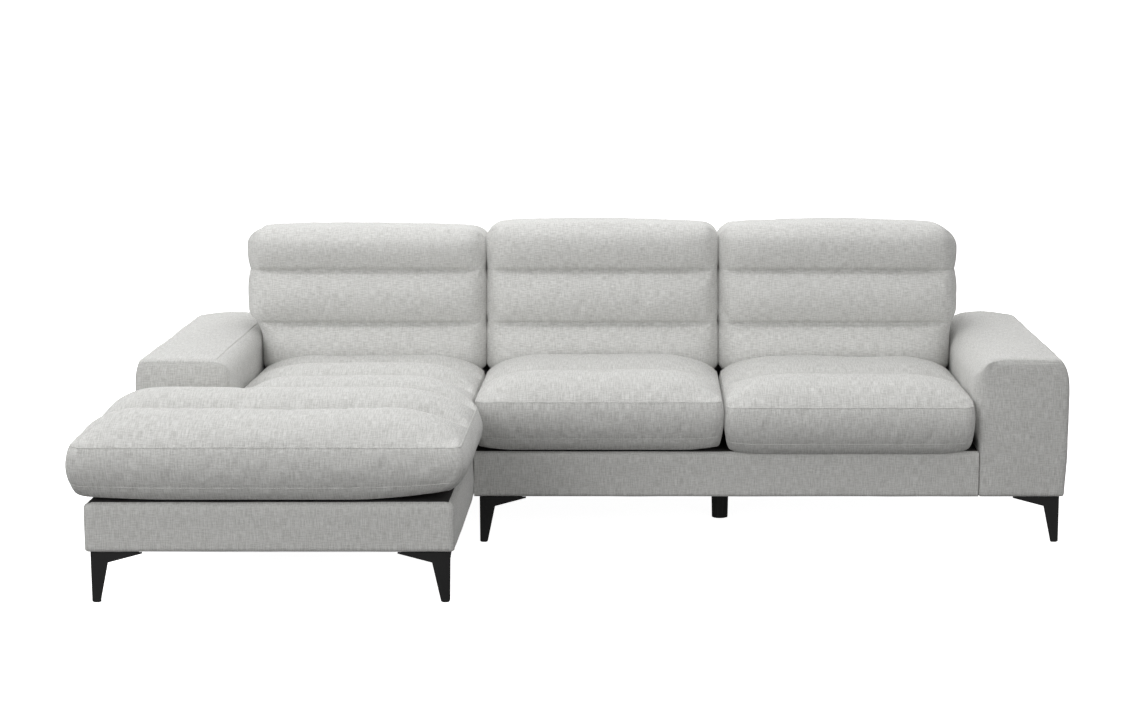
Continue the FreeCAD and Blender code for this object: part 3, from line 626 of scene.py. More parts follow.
@dataclass(frozen=True)
class PlainCloth:
    """Felt, non-woven lining or foam: no weave, only fibres."""

    name: str
    light: Point
    dark: Point
    grain: float
    bump: float = 0.4
    relief: float = 0.0008

    def build(self) -> bpy.types.Material:
        """Make the material."""
        shader = ShaderTree(self.name)
        place = shader.place()
        fibres = shader.noise(place, 1 / self.grain, 4, 0.7)
        clouds = shader.noise(place, 9, 3, 0.5)
        tone = shader.range(fibres, 0.35, 0.65) * 0.7 + clouds * 0.3
        return shader.finish({
            "Base Color": shader.blend(tone, self.dark, self.light), "Roughness": 0.95,
            "Specular IOR Level": 0.15, "Normal": shader.bump(fibres, self.bump, self.relief),
        })


@dataclass(frozen=True)
class Strap:
    """Woven elastic webbing."""

    name: str
    light: Point
    dark: Point
    rib: float = 1900.0
    bump: float = 0.4
    relief: float = 0.0006

    def build(self) -> bpy.types.Material:
        """Make the material."""
        shader = ShaderTree(self.name)
        place = shader.place()
        across, along, _ = shader.parts(place)
        ribs = (across * self.rib).wave() * (along * self.rib).wave()
        tone = shader.range(ribs, -1, 1) * 0.7 + shader.noise(place, 300) * 0.3
        return shader.finish({
            "Base Color": shader.blend(tone, self.dark, self.light), "Roughness": 0.9,
            "Normal": shader.bump(ribs, self.bump, self.relief),
        })


@dataclass(frozen=True)
class PowderCoat:
    """Matt powder coat on steel, or matt moulded plastic."""

    name: str
    tone: Point
    worn: Point
    roughness: float
    metallic: float = 0.0
    bump: float = 0.25
    relief: float = 0.0003

    def build(self) -> bpy.types.Material:
        """Make the material."""
        shader = ShaderTree(self.name)
        place = shader.place()
        peel = shader.noise(place, 900, 2, 0.5)
        haze = shader.noise(place, 14, 3, 0.6)
        return shader.finish({
            "Base Color": shader.blend(shader.range(haze, 0.35, 0.75), self.tone, self.worn),
            "Roughness": shader.range(haze, 0.3, 0.7, self.roughness - 0.06, self.roughness + 0.08),
            "Metallic": self.metallic, "Specular IOR Level": 0.4,
            "Normal": shader.bump(peel, self.bump, self.relief),
        })


@dataclass(frozen=True)
class Softwood:
    """Sawn pine with rings and a fine grain."""

    name: str
    early: Point
    late: Point
    ring: float = 420.0
    bump: float = 0.2
    relief: float = 0.0005

    def build(self) -> bpy.types.Material:
        """Make the material."""
        shader = ShaderTree(self.name)
        place = shader.place()
        bent = shader.noise(place, 3, 2, 0.5)
        rings = ((shader.parts(place)[2] + bent * 0.05) * self.ring).wave()
        pores = shader.noise(shader.stretched(place, (40, 40, 600)), 1, 3, 0.6)
        tone = shader.range(rings, -0.6, 1) * 0.65 + pores * 0.35
        return shader.finish({
            "Base Color": shader.blend(tone, self.early, self.late), "Roughness": 0.7,
            "Normal": shader.bump(pores, self.bump, self.relief),
        })


class Finish(Enum):
    """The finishes of the sofa, by the record's slots."""

    CUSHION = "cushion_fabric"
    BASE = "base_fabric"
    FOAM = "foam"
    LINING = "lining_cloth"
    WEBBING = "webbing"
    FELT = "deck_felt"
    STEEL = "leg_steel"
    PLASTIC = "black_plastic"
    ZINC = "zinc_steel"
    TIMBER = "timber"


PALE_YARN = (0.745, 0.745, 0.728)
GREY_YARN = (0.435, 0.432, 0.414)


def grey(level: float) -> Point:
    """Give a neutral colour."""
    return (level, level, level)


class Palette:
    """Every finish of the sofa, made once."""

    def __init__(self) -> None:
        """Make the materials."""
        recipes = {
            Finish.CUSHION: Weave("cushion_chenille", PALE_YARN, GREY_YARN),
            Finish.BASE: Weave("base_chenille", PALE_YARN, GREY_YARN),
            Finish.FOAM: PlainCloth("seat_foam", (0.86, 0.82, 0.68), (0.74, 0.69, 0.55), 0.003),
            Finish.LINING: PlainCloth("under_lining", grey(0.03), grey(0.012), 0.002),
            Finish.WEBBING: Strap("seat_webbing", (0.30, 0.27, 0.23), (0.10, 0.09, 0.08)),
            Finish.FELT: PlainCloth("deck_felt", (0.075, 0.072, 0.07), grey(0.03), 0.0016),
            Finish.STEEL: PowderCoat("leg_powder_coat", grey(0.007), grey(0.011), 0.6),
            Finish.PLASTIC: PowderCoat("foot_plastic", grey(0.010), grey(0.016), 0.5),
            Finish.ZINC: PowderCoat("zinc_plate", (0.52, 0.52, 0.50), (0.62, 0.60, 0.55), 0.38, 1.0),
            Finish.TIMBER: Softwood("rail_pine", (0.66, 0.46, 0.27), (0.45, 0.27, 0.13)),
        }
        self.made = {finish: recipe.build() for finish, recipe in recipes.items()}
        # The back cushions get a lighter copy of the cushion chenille: the same fabric with brighter yarn
        # colours, painted light standing in for the light that falls on them.
        self.painted_light_back_cloth = Weave("back_chenille", (0.80, 0.80, 0.782), (0.478, 0.475, 0.457),
                                warp_length=0.024, weft_length=0.028).build()

    def dress(self, thing: bpy.types.Object, finish: Finish) -> None:
        """Give an object one finish."""
        thing.data.materials.clear()
        thing.data.materials.append(self.made[finish])


# Sewing


class SewingTree:
    """Geometry nodes that run a welt or a row of stitches along a path."""

    def __init__(self, name: str) -> None:
        """Start a tree with a geometry input and output."""
        self.tree = bpy.data.node_groups.new(name, "GeometryNodeTree")
        self.tree.interface.new_socket("Path", in_out="INPUT", socket_type="NodeSocketGeometry")
        self.tree.interface.new_socket("Sewn", in_out="OUTPUT", socket_type="NodeSocketGeometry")
        self.inputs = self.tree.nodes.new("NodeGroupInput")

    def size(self, name: str, value: float) -> None:
        """Add a named length to the tree's inputs."""
        socket = self.tree.interface.new_socket(name, in_out="INPUT", socket_type="NodeSocketFloat")
        socket.default_value = value

    def cloth(self) -> None:
        """Add a named material to the tree's inputs."""
        self.tree.interface.new_socket("Cloth", in_out="INPUT", socket_type="NodeSocketMaterial")

    def node(self, kind: str, settings: dict[str, object],
             inputs: dict[int | str, object]) -> bpy.types.Node:
        """Add a node with its settings and its inputs, which are values or sockets."""
        made = self.tree.nodes.new(kind)
        for key, value in settings.items():
            setattr(made, key, value)
        for key, value in inputs.items():
            if isinstance(value, bpy.types.NodeSocket):
                self.tree.links.new(value, made.inputs[key])
            else:
                made.inputs[key].default_value = value
        return made

    def close(self, sewn: bpy.types.NodeSocket) -> bpy.types.NodeTree:
        """Dress the result, make it real and join it to the output."""
        real = self.node("GeometryNodeRealizeInstances", {}, {0: sewn})
        dressed = self.node("GeometryNodeSetMaterial", {},
                            {0: real.outputs[0], "Material": self.inputs.outputs["Cloth"]})
        self.node("NodeGroupOutput", {}, {0: dressed.outputs[0]})
        return self.tree


def welt_tree() -> bpy.types.NodeTree:
    """Make the tree for a corded welt: a round tube along the path."""
    sewing = SewingTree("Welt")
    sewing.size("Radius", 0.0025)
    sewing.size("Step", 0.006)
    sewing.cloth()
    path = sewing.node("GeometryNodeResampleCurve", {"mode": "LENGTH"},
                       {0: sewing.inputs.outputs["Path"], "Length": sewing.inputs.outputs["Step"]})
    ring = sewing.node("GeometryNodeCurvePrimitiveCircle", {},
                       {"Resolution": 8, "Radius": sewing.inputs.outputs["Radius"]})
    tube = sewing.node("GeometryNodeCurveToMesh", {},
                       {0: path.outputs[0], 1: ring.outputs[0], "Fill Caps": True})
    smooth = sewing.node("GeometryNodeSetShadeSmooth", {}, {0: tube.outputs[0]})
    return sewing.close(smooth.outputs[0])


def stitch_tree() -> bpy.types.NodeTree:
    """Make the tree for a row of stitches: short rounded threads, one after another."""
    sewing = SewingTree("Stitches")
    sewing.size("Radius", 0.0005)
    sewing.size("Pitch", 0.006)
    sewing.size("Length", 0.0042)
    sewing.cloth()
    points = sewing.node("GeometryNodeCurveToPoints", {"mode": "LENGTH"},
                         {0: sewing.inputs.outputs["Path"], "Length": sewing.inputs.outputs["Pitch"]})
    thread = sewing.node("GeometryNodeMeshUVSphere", {},
                         {"Segments": 6, "Rings": 4, "Radius": sewing.inputs.outputs["Radius"]})
    share = sewing.node("ShaderNodeMath", {"operation": "DIVIDE"},
                        {0: sewing.inputs.outputs["Length"], 1: sewing.inputs.outputs["Radius"]})
    half = sewing.node("ShaderNodeMath", {"operation": "MULTIPLY"}, {0: share.outputs[0], 1: 0.5})
    scale = sewing.node("ShaderNodeCombineXYZ", {}, {0: 1.0, 1: 1.0, 2: half.outputs[0]})
    placed = sewing.node("GeometryNodeInstanceOnPoints", {}, {
        "Points": points.outputs["Points"], "Instance": thread.outputs[0],
        "Rotation": points.outputs["Rotation"], "Scale": scale.outputs[0],
    })
    return sewing.close(placed.outputs[0])


def staple_tree() -> bpy.types.NodeTree:
    """Make the tree for a row of staples: flat wire crowns, one after another."""
    sewing = SewingTree("Staples")
    sewing.size("Wire", 0.0012)
    sewing.size("Crown", 0.012)
    sewing.size("Pitch", 0.055)
    sewing.cloth()
    points = sewing.node("GeometryNodeCurveToPoints", {"mode": "LENGTH"},
                         {0: sewing.inputs.outputs["Path"], "Length": sewing.inputs.outputs["Pitch"]})
    size = sewing.node("ShaderNodeCombineXYZ", {}, {
        0: sewing.inputs.outputs["Wire"], 1: sewing.inputs.outputs["Wire"],
        2: sewing.inputs.outputs["Crown"],
    })
    crown = sewing.node("GeometryNodeMeshCube", {}, {"Size": size.outputs[0]})
    placed = sewing.node("GeometryNodeInstanceOnPoints", {}, {
        "Points": points.outputs["Points"], "Instance": crown.outputs[0],
        "Rotation": points.outputs["Rotation"],
    })
    return sewing.close(placed.outputs[0])


class Workshop:
    """The tools that every maker shares: finishes, sewing trees and where finished pieces are dressed and
    attached.
    """

    def __init__(self) -> None:
        """Make the finishes and the sewing trees."""
        self.palette = Palette()
        self.welts = welt_tree()
        self.stitches = stitch_tree()
        self.staples = staple_tree()
        self.sewn: dict[tuple[str, str, Finish], list[bpy.types.Object]] = {}

    def body_of(self, node: str) -> str:
        """Give the body that a node rides on."""
        for body, members in frame["record"]["behaviour"]["bodies"].items():
            if node in members:
                return body
        raise KeyError(node)

    def hand_over(self, thing: bpy.types.Object, finish: Finish, nodes: Sequence[str],
                  fill: float | None = None) -> None:
        """Dress a finished piece and declare what it rides on and stands for.

        Args:
            thing: The piece.
            finish: Its finish.
            nodes: The nodes that it replaces; it rides with the first.
            fill: Not used.
        """
        self.palette.dress(thing, finish)
        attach(thing, self.body_of(nodes[0]))
        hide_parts(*nodes)
        LOG.info("%s: %d faces for %s", thing.name, len(thing.data.polygons), ", ".join(nodes))

    def sew(self, name: str, path: Array, tree: bpy.types.NodeTree, body: str, finish: Finish,
            sizes: dict[str, float], closed: bool = False) -> None:
        """Run a sewing tree along a path and keep the result for joining.

        Args:
            name: The name of the joined piece.
            path: The path's points.
            tree: The welt or stitch tree.
            body: The body that the piece rides on.
            finish: The piece's finish.
            sizes: The tree's named lengths.
            closed: Whether the path is a loop.
        """
        curve = bpy.data.curves.new(name, "CURVE")
        curve.dimensions = "3D"
        spline = curve.splines.new("POLY")
        spline.points.add(len(path) - 1)
        spline.points.foreach_set("co", np.c_[path, np.ones(len(path))].ravel())
        spline.use_cyclic_u = closed
        thing = collection_link(bpy.data.objects.new(name, curve))
        modifier = thing.modifiers.new("Sewing", "NODES")
        modifier.node_group = tree
        for item in tree.interface.items_tree:
            if item.item_type == "SOCKET" and item.in_out == "INPUT":
                if item.name in sizes:
                    modifier[item.identifier] = sizes[item.name]
                elif item.name == "Cloth":
                    modifier[item.identifier] = self.palette.made[finish]
        graph = bpy.context.evaluated_depsgraph_get()
        mesh = bpy.data.meshes.new_from_object(thing.evaluated_get(graph), depsgraph=graph)
        bpy.data.objects.remove(thing)
        made = bpy.data.objects.new(name, mesh)
        self.sewn.setdefault((name, body, finish), []).append(made)

    def hand_over_sewing(self) -> None:
        for (name, body, finish), parts in self.sewn.items():
            builder = bmesh.new()
            for part in parts:
                builder.from_mesh(part.data)
                bpy.data.objects.remove(part)
            mesh = bpy.data.meshes.new(name)
            builder.to_mesh(mesh)
            builder.free()
            mesh.shade_smooth()
            self.add_map(mesh)
            thing = collection_link(bpy.data.objects.new(name, mesh))
            self.palette.dress(thing, finish)
            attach(thing, body)
            LOG.info("%s: %d faces", name, len(mesh.polygons))

    @staticmethod
    def add_map(mesh: bpy.types.Mesh) -> None:
        """Lay a cloth map on a sewn piece, along its length and its height."""
        points = mesh_points(mesh)
        corners = np.empty(len(mesh.loops), np.int32)
        mesh.loops.foreach_get("vertex_index", corners)
        chosen = points[corners]
        place = np.c_[chosen[:, 0] + chosen[:, 1], chosen[:, 2] + chosen[:, 1] / 2]
        layer = mesh.uv_layers.get(CLOTH_MAP) or mesh.uv_layers.new(name=CLOTH_MAP)
        layer.data.foreach_set("uv", place.ravel())


class Surface:
    """A finished cover's surface, on which seams are laid."""

    def __init__(self, thing: bpy.types.Object) -> None:
        """Index the mesh."""
        mesh = thing.data
        self.tree = BVHTree.FromPolygons([v.co for v in mesh.vertices],
                                         [tuple(p.vertices) for p in mesh.polygons])

    def lay(self, path: Array, lift: float) -> Array:
        """Move a path onto the surface.

        Args:
            path: The path's points, near the surface.
            lift: How far the path ends above the surface.

        Returns:
            The moved points.
        """
        laid = []
        for point in path:
            found, normal, _, _ = self.tree.find_nearest(Vector(point))
            laid.append(found + normal * lift)
        return np.array(laid)


# Cushions


@dataclass
class SeatCushion:
    """A loose seat cushion with a boxed edge, welts and sewn channels."""

    name: str
    workshop: Workshop
    channels: tuple[float, ...]
    rest_front: float
    pitch: float = 0.010
    lower_seam: float = 0.322
    upper_seam: float = 0.434
    crests: tuple[float, ...] = (0.502, 0.493)
    rear_top: float = 0.4255
    corner: float = 0.030
    channel: Channel = Channel(depth=0.005, width=0.00504, sharpness=1.3, pucker=0.0010, spacing=0.016)
    panel_rise: float = 0.060
    roundness: float = 0.97
    droop: float = 0.0
    edge_lift: float = 0.004
    corner_lifts: tuple[float, ...] = (0.012, 0.012)
    corner_reach: float = 0.11
    rear_inset: float = 0.007
    front_inset: float = 0.008
    side_bulge: float = 0.005
    side_reach: float = 0.12
    droop_start: float = 0.055
    droop_full: float = 0.018
    unevenness: float = 0.0025
    foot_radius: float = 0.048
    foot_gap: float = 0.0015
    seam_press: float = 0.0012
    seam_width: float = 0.005
    seam_fold: float = 0.0007
    hollow: float = 0.0008
    stitch_offset: float = 0.0045
    welt_radius: float = 0.0016
    seed: int = 3
    channel_seed: int = 11
    sides: list[Side] = field(init=False)

    def __post_init__(self) -> None:
        """Read the cushion's box and lay out its plan."""
        self.low, self.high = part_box(self.name + "_cover")
        self.sides = self.lay_out_sides()

    def lay_out_sides(self) -> list[Side]:
        """Give the sides of a plain four-sided cushion."""
        bulge = self.side_bulge
        left, right = self.low.x + bulge, self.high.x - bulge
        front, rear = self.low.y + self.front_inset, self.high.y
        return [
            Side((left, front), (right, front), 0.030, 0.011, 0.18, 2.0, 0.80),
            Side((right, front), (right, rear), 0.012, bulge, 0.20, 2.4, 0.85),
            Side((right, rear), (left, rear), 0.004, 0.0, 0.05),
            Side((left, rear), (left, front), 0.012, bulge, 0.20, 2.4, 0.85),
        ]

    def inside(self, across: float, along: float) -> bool:
        """Tell whether a place lies in the plan."""
        return True

    def plan_marks(self) -> tuple[list[float], list[float]]:
        """Give the places that must have a grid line, across and along."""
        corners = [side.start for side in self.sides]
        across = [corner[0] for corner in corners]
        along = [corner[1] for corner in corners] + list(self.channels)
        return across, along

    def round_plan(self, points: Array) -> None:
        """Round the cushion's upright corners."""
        left, right = self.sides[3].start[0], self.sides[0].end[0]
        front, rear = self.sides[0].start[1], self.sides[2].start[1]
        for place, way in ((left, -1), (right, 1)):
            side = Face(Axis.X, place, way)
            round_edge(points, side, Face(Axis.Y, front, -1), self.corner)
            round_edge(points, side, Face(Axis.Y, rear, 1), self.corner / 2)

    def spill(self, points: Array, cut: Array) -> None:
        """Leave a plain cushion within its base; the chaise cushion overrides this to bulge past it."""

    def pillow(self, plan: Array) -> Array:
        """Give how much of the crown's rise is reached at places in the plan."""
        rise = np.ones(len(plan))
        for side in self.sides:
            share = np.clip(side.distance(plan) / side.reach, 0, 1)
            rise *= (1 - (1 - share) ** side.power) ** side.roll
        return rise

    def panels(self, along: Array) -> tuple[Array, Array]:
        """Give how high each sewn panel's crown stands, and how far the panel dips beside it."""
        marks = [self.low.y, *self.channels, self.rest_front + 0.12]
        dip = np.zeros(len(along))
        for start, end in zip(marks, marks[1:]):
            share = np.clip((along - start) / (end - start), 0, 1)
            inside = (along >= start) & (along <= end)
            dip = np.where(inside, 1 - np.sqrt(1 - (self.roundness * (2 * share - 1)) ** 2), dip)
        crowns = [(start + end) / 2 for start, end in zip(marks, marks[1:])]
        dip = np.where(along < crowns[0], 0, dip)
        return np.interp(along, crowns, self.crests), dip * self.panel_rise

    def under_back(self, along: Array) -> Array:
        """Give how high the cushion may be under the rounded foot of a back cushion."""
        radius = self.foot_radius
        into = np.clip(along - self.rest_front, 0, radius)
        height = self.rear_top + radius - np.sqrt(np.maximum(radius ** 2 - (radius - into) ** 2, 0))
        return np.where(along < self.rest_front - 0.002, 1.0, height - self.foot_gap)

    def shape(self, cut: Array) -> Array:
        """Shape points of the uncut block into the stuffed cushion.

        Args:
            cut: Places on the block.

        Returns:
            The same points on the cushion.
        """
        points = cut.copy()
        plan = cut[:, :2]
        self.round_plan(points)
        strip = np.clip((cut[:, 2] - self.low.z) / (self.lower_seam - self.low.z), 0, 1)
        boxing = np.clip((cut[:, 2] - self.lower_seam) / (self.upper_seam - self.lower_seam), 0, 1)
        tucked = 0.6 * (1 - strip) + 0.4 * (1 - np.sqrt(1 - (1 - strip) ** 2))
        swollen = 1 - (2 * boxing - 1) ** 2
        top = cut[:, 2] > self.upper_seam - NEAR
        under = ease(plan[:, 1], self.rest_front - 0.02, self.rest_front + 0.02)
        for side in self.sides:
            near = 1 - np.clip(side.distance(plan) / self.side_reach, 0, 1)
            offset = side.bulge * swollen * (1 - under) - side.tuck * tucked - self.rear_inset * under
            points[:, :2] += (offset * near * near)[:, None] * side.outward()
        self.spill(points, cut)
        rise = self.pillow(plan)
        crest, dip = self.panels(plan[:, 1])
        dip *= np.clip(rise * 1.25, 0, 1) ** 1.2
        height = self.upper_seam + (crest - self.upper_seam) * rise - dip
        height += self.unevenness * lattice_noise(np.c_[plan * 6, np.zeros(len(plan))], self.seed) * rise
        height = np.minimum(height, self.under_back(plan[:, 1]))
        points[:, 2] = np.where(top, height, points[:, 2])
        points[:, 2] += self.edge_lift * (1 - np.clip(self.edge(plan) / 0.05, 0, 1)) * (1 - strip)
        points[:, 2] += self.corner_rise(plan) * (1 - 0.4 * strip - 0.6 * boxing)
        nose = ease(plan[:, 1], self.low.y + self.droop_start, self.low.y + self.droop_full)
        points[:, 2] -= self.droop * nose
        return points

    def edge(self, plan: Array) -> Array:
        """Give how far places in the plan lie from the nearest side."""
        return np.min([side.distance(plan) for side in self.sides], axis=0)

    def corner_rise(self, plan: Array) -> Array:
        """Give how far the cushion's underside lifts towards its front corners."""
        rise = np.zeros(len(plan))
        for side, lift in zip(self.sides, self.corner_lifts):
            apart = np.linalg.norm(plan - np.array(side.start), axis=1)
            rise += lift * (1 - np.clip(apart / self.corner_reach, 0, 1)) ** 1.6
        return rise

    def held(self, cut: Array) -> Array:
        """Give how firmly seams and what the cushion rests on hold each point."""
        plan, height = cut[:, :2], cut[:, 2]
        at_seam = (np.abs(height - self.upper_seam) < NEAR) | (np.abs(height - self.lower_seam) < NEAR)
        firm = (self.edge(plan) < NEAR) & at_seam
        firm |= (height < self.low.z + NEAR) | (plan[:, 1] > self.rest_front - 0.01)
        for channel in self.channels:
            firm |= (np.abs(plan[:, 1] - channel) < NEAR) & (height > self.upper_seam - NEAR)
        return firm.astype(float)

    def detail(self, thing: bpy.types.Object) -> None:
        """Press the channels, puckers and small folds into the finished cover."""
        mesh = thing.data
        cut, points, normals = cut_points(mesh), mesh_points(mesh), mesh_normals(mesh)
        plan = cut[:, :2]
        top = ease(cut[:, 2], self.upper_seam - 0.004, self.upper_seam)
        edge = self.edge(plan)
        move = np.zeros(len(points))
        fade = 0.35 + 0.65 * ease(edge, 0, 0.08)
        for number, channel in enumerate(self.channels):
            off = np.abs(plan[:, 1] - channel)
            move += top * self.channel.press(plan[:, 0], off, fade, number, self.channel_seed)
        to_top = np.hypot(edge, np.maximum(self.upper_seam - cut[:, 2], 0))
        to_low = np.hypot(edge, np.abs(self.lower_seam - cut[:, 2]))
        for away in (to_top, to_low):
            move -= self.seam_press * np.exp(-(away / self.seam_width) ** 2)
        along_seam = np.c_[(plan[:, 0] + plan[:, 1]) / 0.02, to_top / 0.06, np.zeros(len(plan))]
        move += self.seam_fold * lattice_noise(along_seam, self.seed) * np.exp(-to_top / 0.035)
        move += self.hollow * lattice_noise(cut / 0.045, self.seed + 1)
        soft = ease(cut[:, 2], self.low.z, self.low.z + 0.02)
        resting = ease(plan[:, 1], self.rest_front - 0.005, self.rest_front - 0.03)
        set_points(mesh, points + normals * (move * soft * np.maximum(resting, 1 - top))[:, None])

    def seam(self, height: float) -> Array:
        """Give the path of a seam round the cushion at one height of the block."""
        path = []
        for side in self.sides:
            start, end = np.array(side.start), np.array(side.end)
            steps = max(2, round(np.linalg.norm(end - start) / 0.008))
            path += [start + (end - start) * step / steps for step in range(steps)]
        return self.shape(np.c_[np.array(path), np.full(len(path), height)])

    def build(self) -> bpy.types.Object:
        """Cut, stuff and sew the cushion.

        Returns:
            The finished cover.
        """
        across, along = self.plan_marks()
        beside = [channel + off for channel in self.channels for off in (-0.004, 0.004)]
        block = GridBlock(ruled_lines(across, self.pitch), ruled_lines(along + beside, self.pitch),
                          ruled_lines((self.low.z, self.lower_seam, self.upper_seam), self.pitch),
                          self.inside)
        cut, faces, panels = block.build()
        thing = fabric_object(self.name, cut, self.shape(cut), faces, panels)
        Inflation().run(thing, self.held(cut))
        subdivide(thing)
        self.detail(thing)
        self.workshop.hand_over(thing, Finish.CUSHION, (self.name + "_cover",), 0.8)
        surface = Surface(thing)
        for height, way in ((self.upper_seam, -1), (self.lower_seam, 1)):
            path = surface.lay(self.seam(height), 0.0)
            self.workshop.sew(self.name + "_welts", path, self.workshop.welts, self.name, Finish.CUSHION,
                              {"Radius": self.welt_radius}, True)
            path = surface.lay(self.seam(height + way * self.stitch_offset), 0.0002)
            self.workshop.sew(self.name + "_stitches", path, self.workshop.stitches, self.name,
                              Finish.CUSHION, {}, True)
        return thing


@dataclass
class ChaiseCushion(SeatCushion):
    """The long cushion of the chaise, wide in front of the arm and narrow beside it."""

    arm_face: float = 0.0
    arm_front: float = 0.0
    arm_gap: float = 0.001
    side_bulge: float = 0.006
    overhang: float = 0.036
    spill_reach: float = 0.25
    fullest: float = 0.62
    left_spill: float = 0.006
    spill_start: float = -0.110
    spill_end: float = -0.230

    def lay_out_sides(self) -> list[Side]:
        """Give the six sides of the plan."""
        bulge = self.side_bulge
        left, right = self.low.x + bulge, self.high.x - bulge / 2
        front, rear = self.low.y + self.front_inset, self.high.y
        inset = self.arm_gap + bulge / 2
        beside, before = self.arm_face + inset, self.arm_front - inset
        return [
            Side((left, front), (right, front), 0.032, 0.011, 0.20, 2.0, 0.80),
            Side((right, front), (right, rear), 0.014, bulge / 2, 0.20, 2.2, 0.85),
            Side((right, rear), (beside, rear), 0.004, 0.0, 0.05),
            Side((beside, rear), (beside, before), 0.010, bulge / 2, 0.22, 2.4, 0.9),
            Side((beside, before), (left, before), 0.010, bulge / 2, 0.16, 2.4, 0.9),
            Side((left, before), (left, front), 0.014, bulge, 0.16, 2.3, 0.80),
        ]

    def inside(self, across: float, along: float) -> bool:
        """Tell whether a place lies in the plan."""
        corner = self.sides[3].end
        return along < corner[1] or across > corner[0]

    def round_plan(self, points: Array) -> None:
        """Round the upright corners, the one at the free front end the most."""
        front, right, rear, beside, before, left = (
            Face(axis, side.start[axis.value], way)
            for side, axis, way in zip(self.sides, (Axis.Y, Axis.X) * 3, (-1, 1, 1, -1, 1, -1))
        )
        wide = points[:, 1] <= before.place + NEAR
        round_edge(points, right, front, 0.026)
        round_edge(points, left, front, 0.042)
        round_edge(points, left, before, 0.05, wide & (points[:, 0] < beside.place - 0.02))
        round_edge(points, right, rear, 0.02)
        round_edge(points, beside, rear, 0.02, ~wide)

    def spill(self, points: Array, cut: Array) -> None:
        """Let the free end bulge past the base, in front of the next cushion."""
        right = self.sides[1].start[0]
        near = 1 - np.clip((right - cut[:, 0]) / self.spill_reach, 0, 1)
        free = ease(cut[:, 1], self.spill_start, self.spill_end)
        height = np.clip((cut[:, 2] - self.low.z) / (self.upper_seam - self.low.z), 0, 1)
        below = np.sin(height / self.fullest * math.pi / 2)
        above = 1 - 0.30 * ease(height, self.fullest, 1)
        full = np.where(height < self.fullest, below, above)
        points[:, 0] += self.overhang * near ** 1.5 * free * full
        left = 1 - np.clip((cut[:, 0] - self.sides[0].start[0]) / self.spill_reach, 0, 1)
        points[:, 0] -= self.left_spill * left ** 1.5 * full


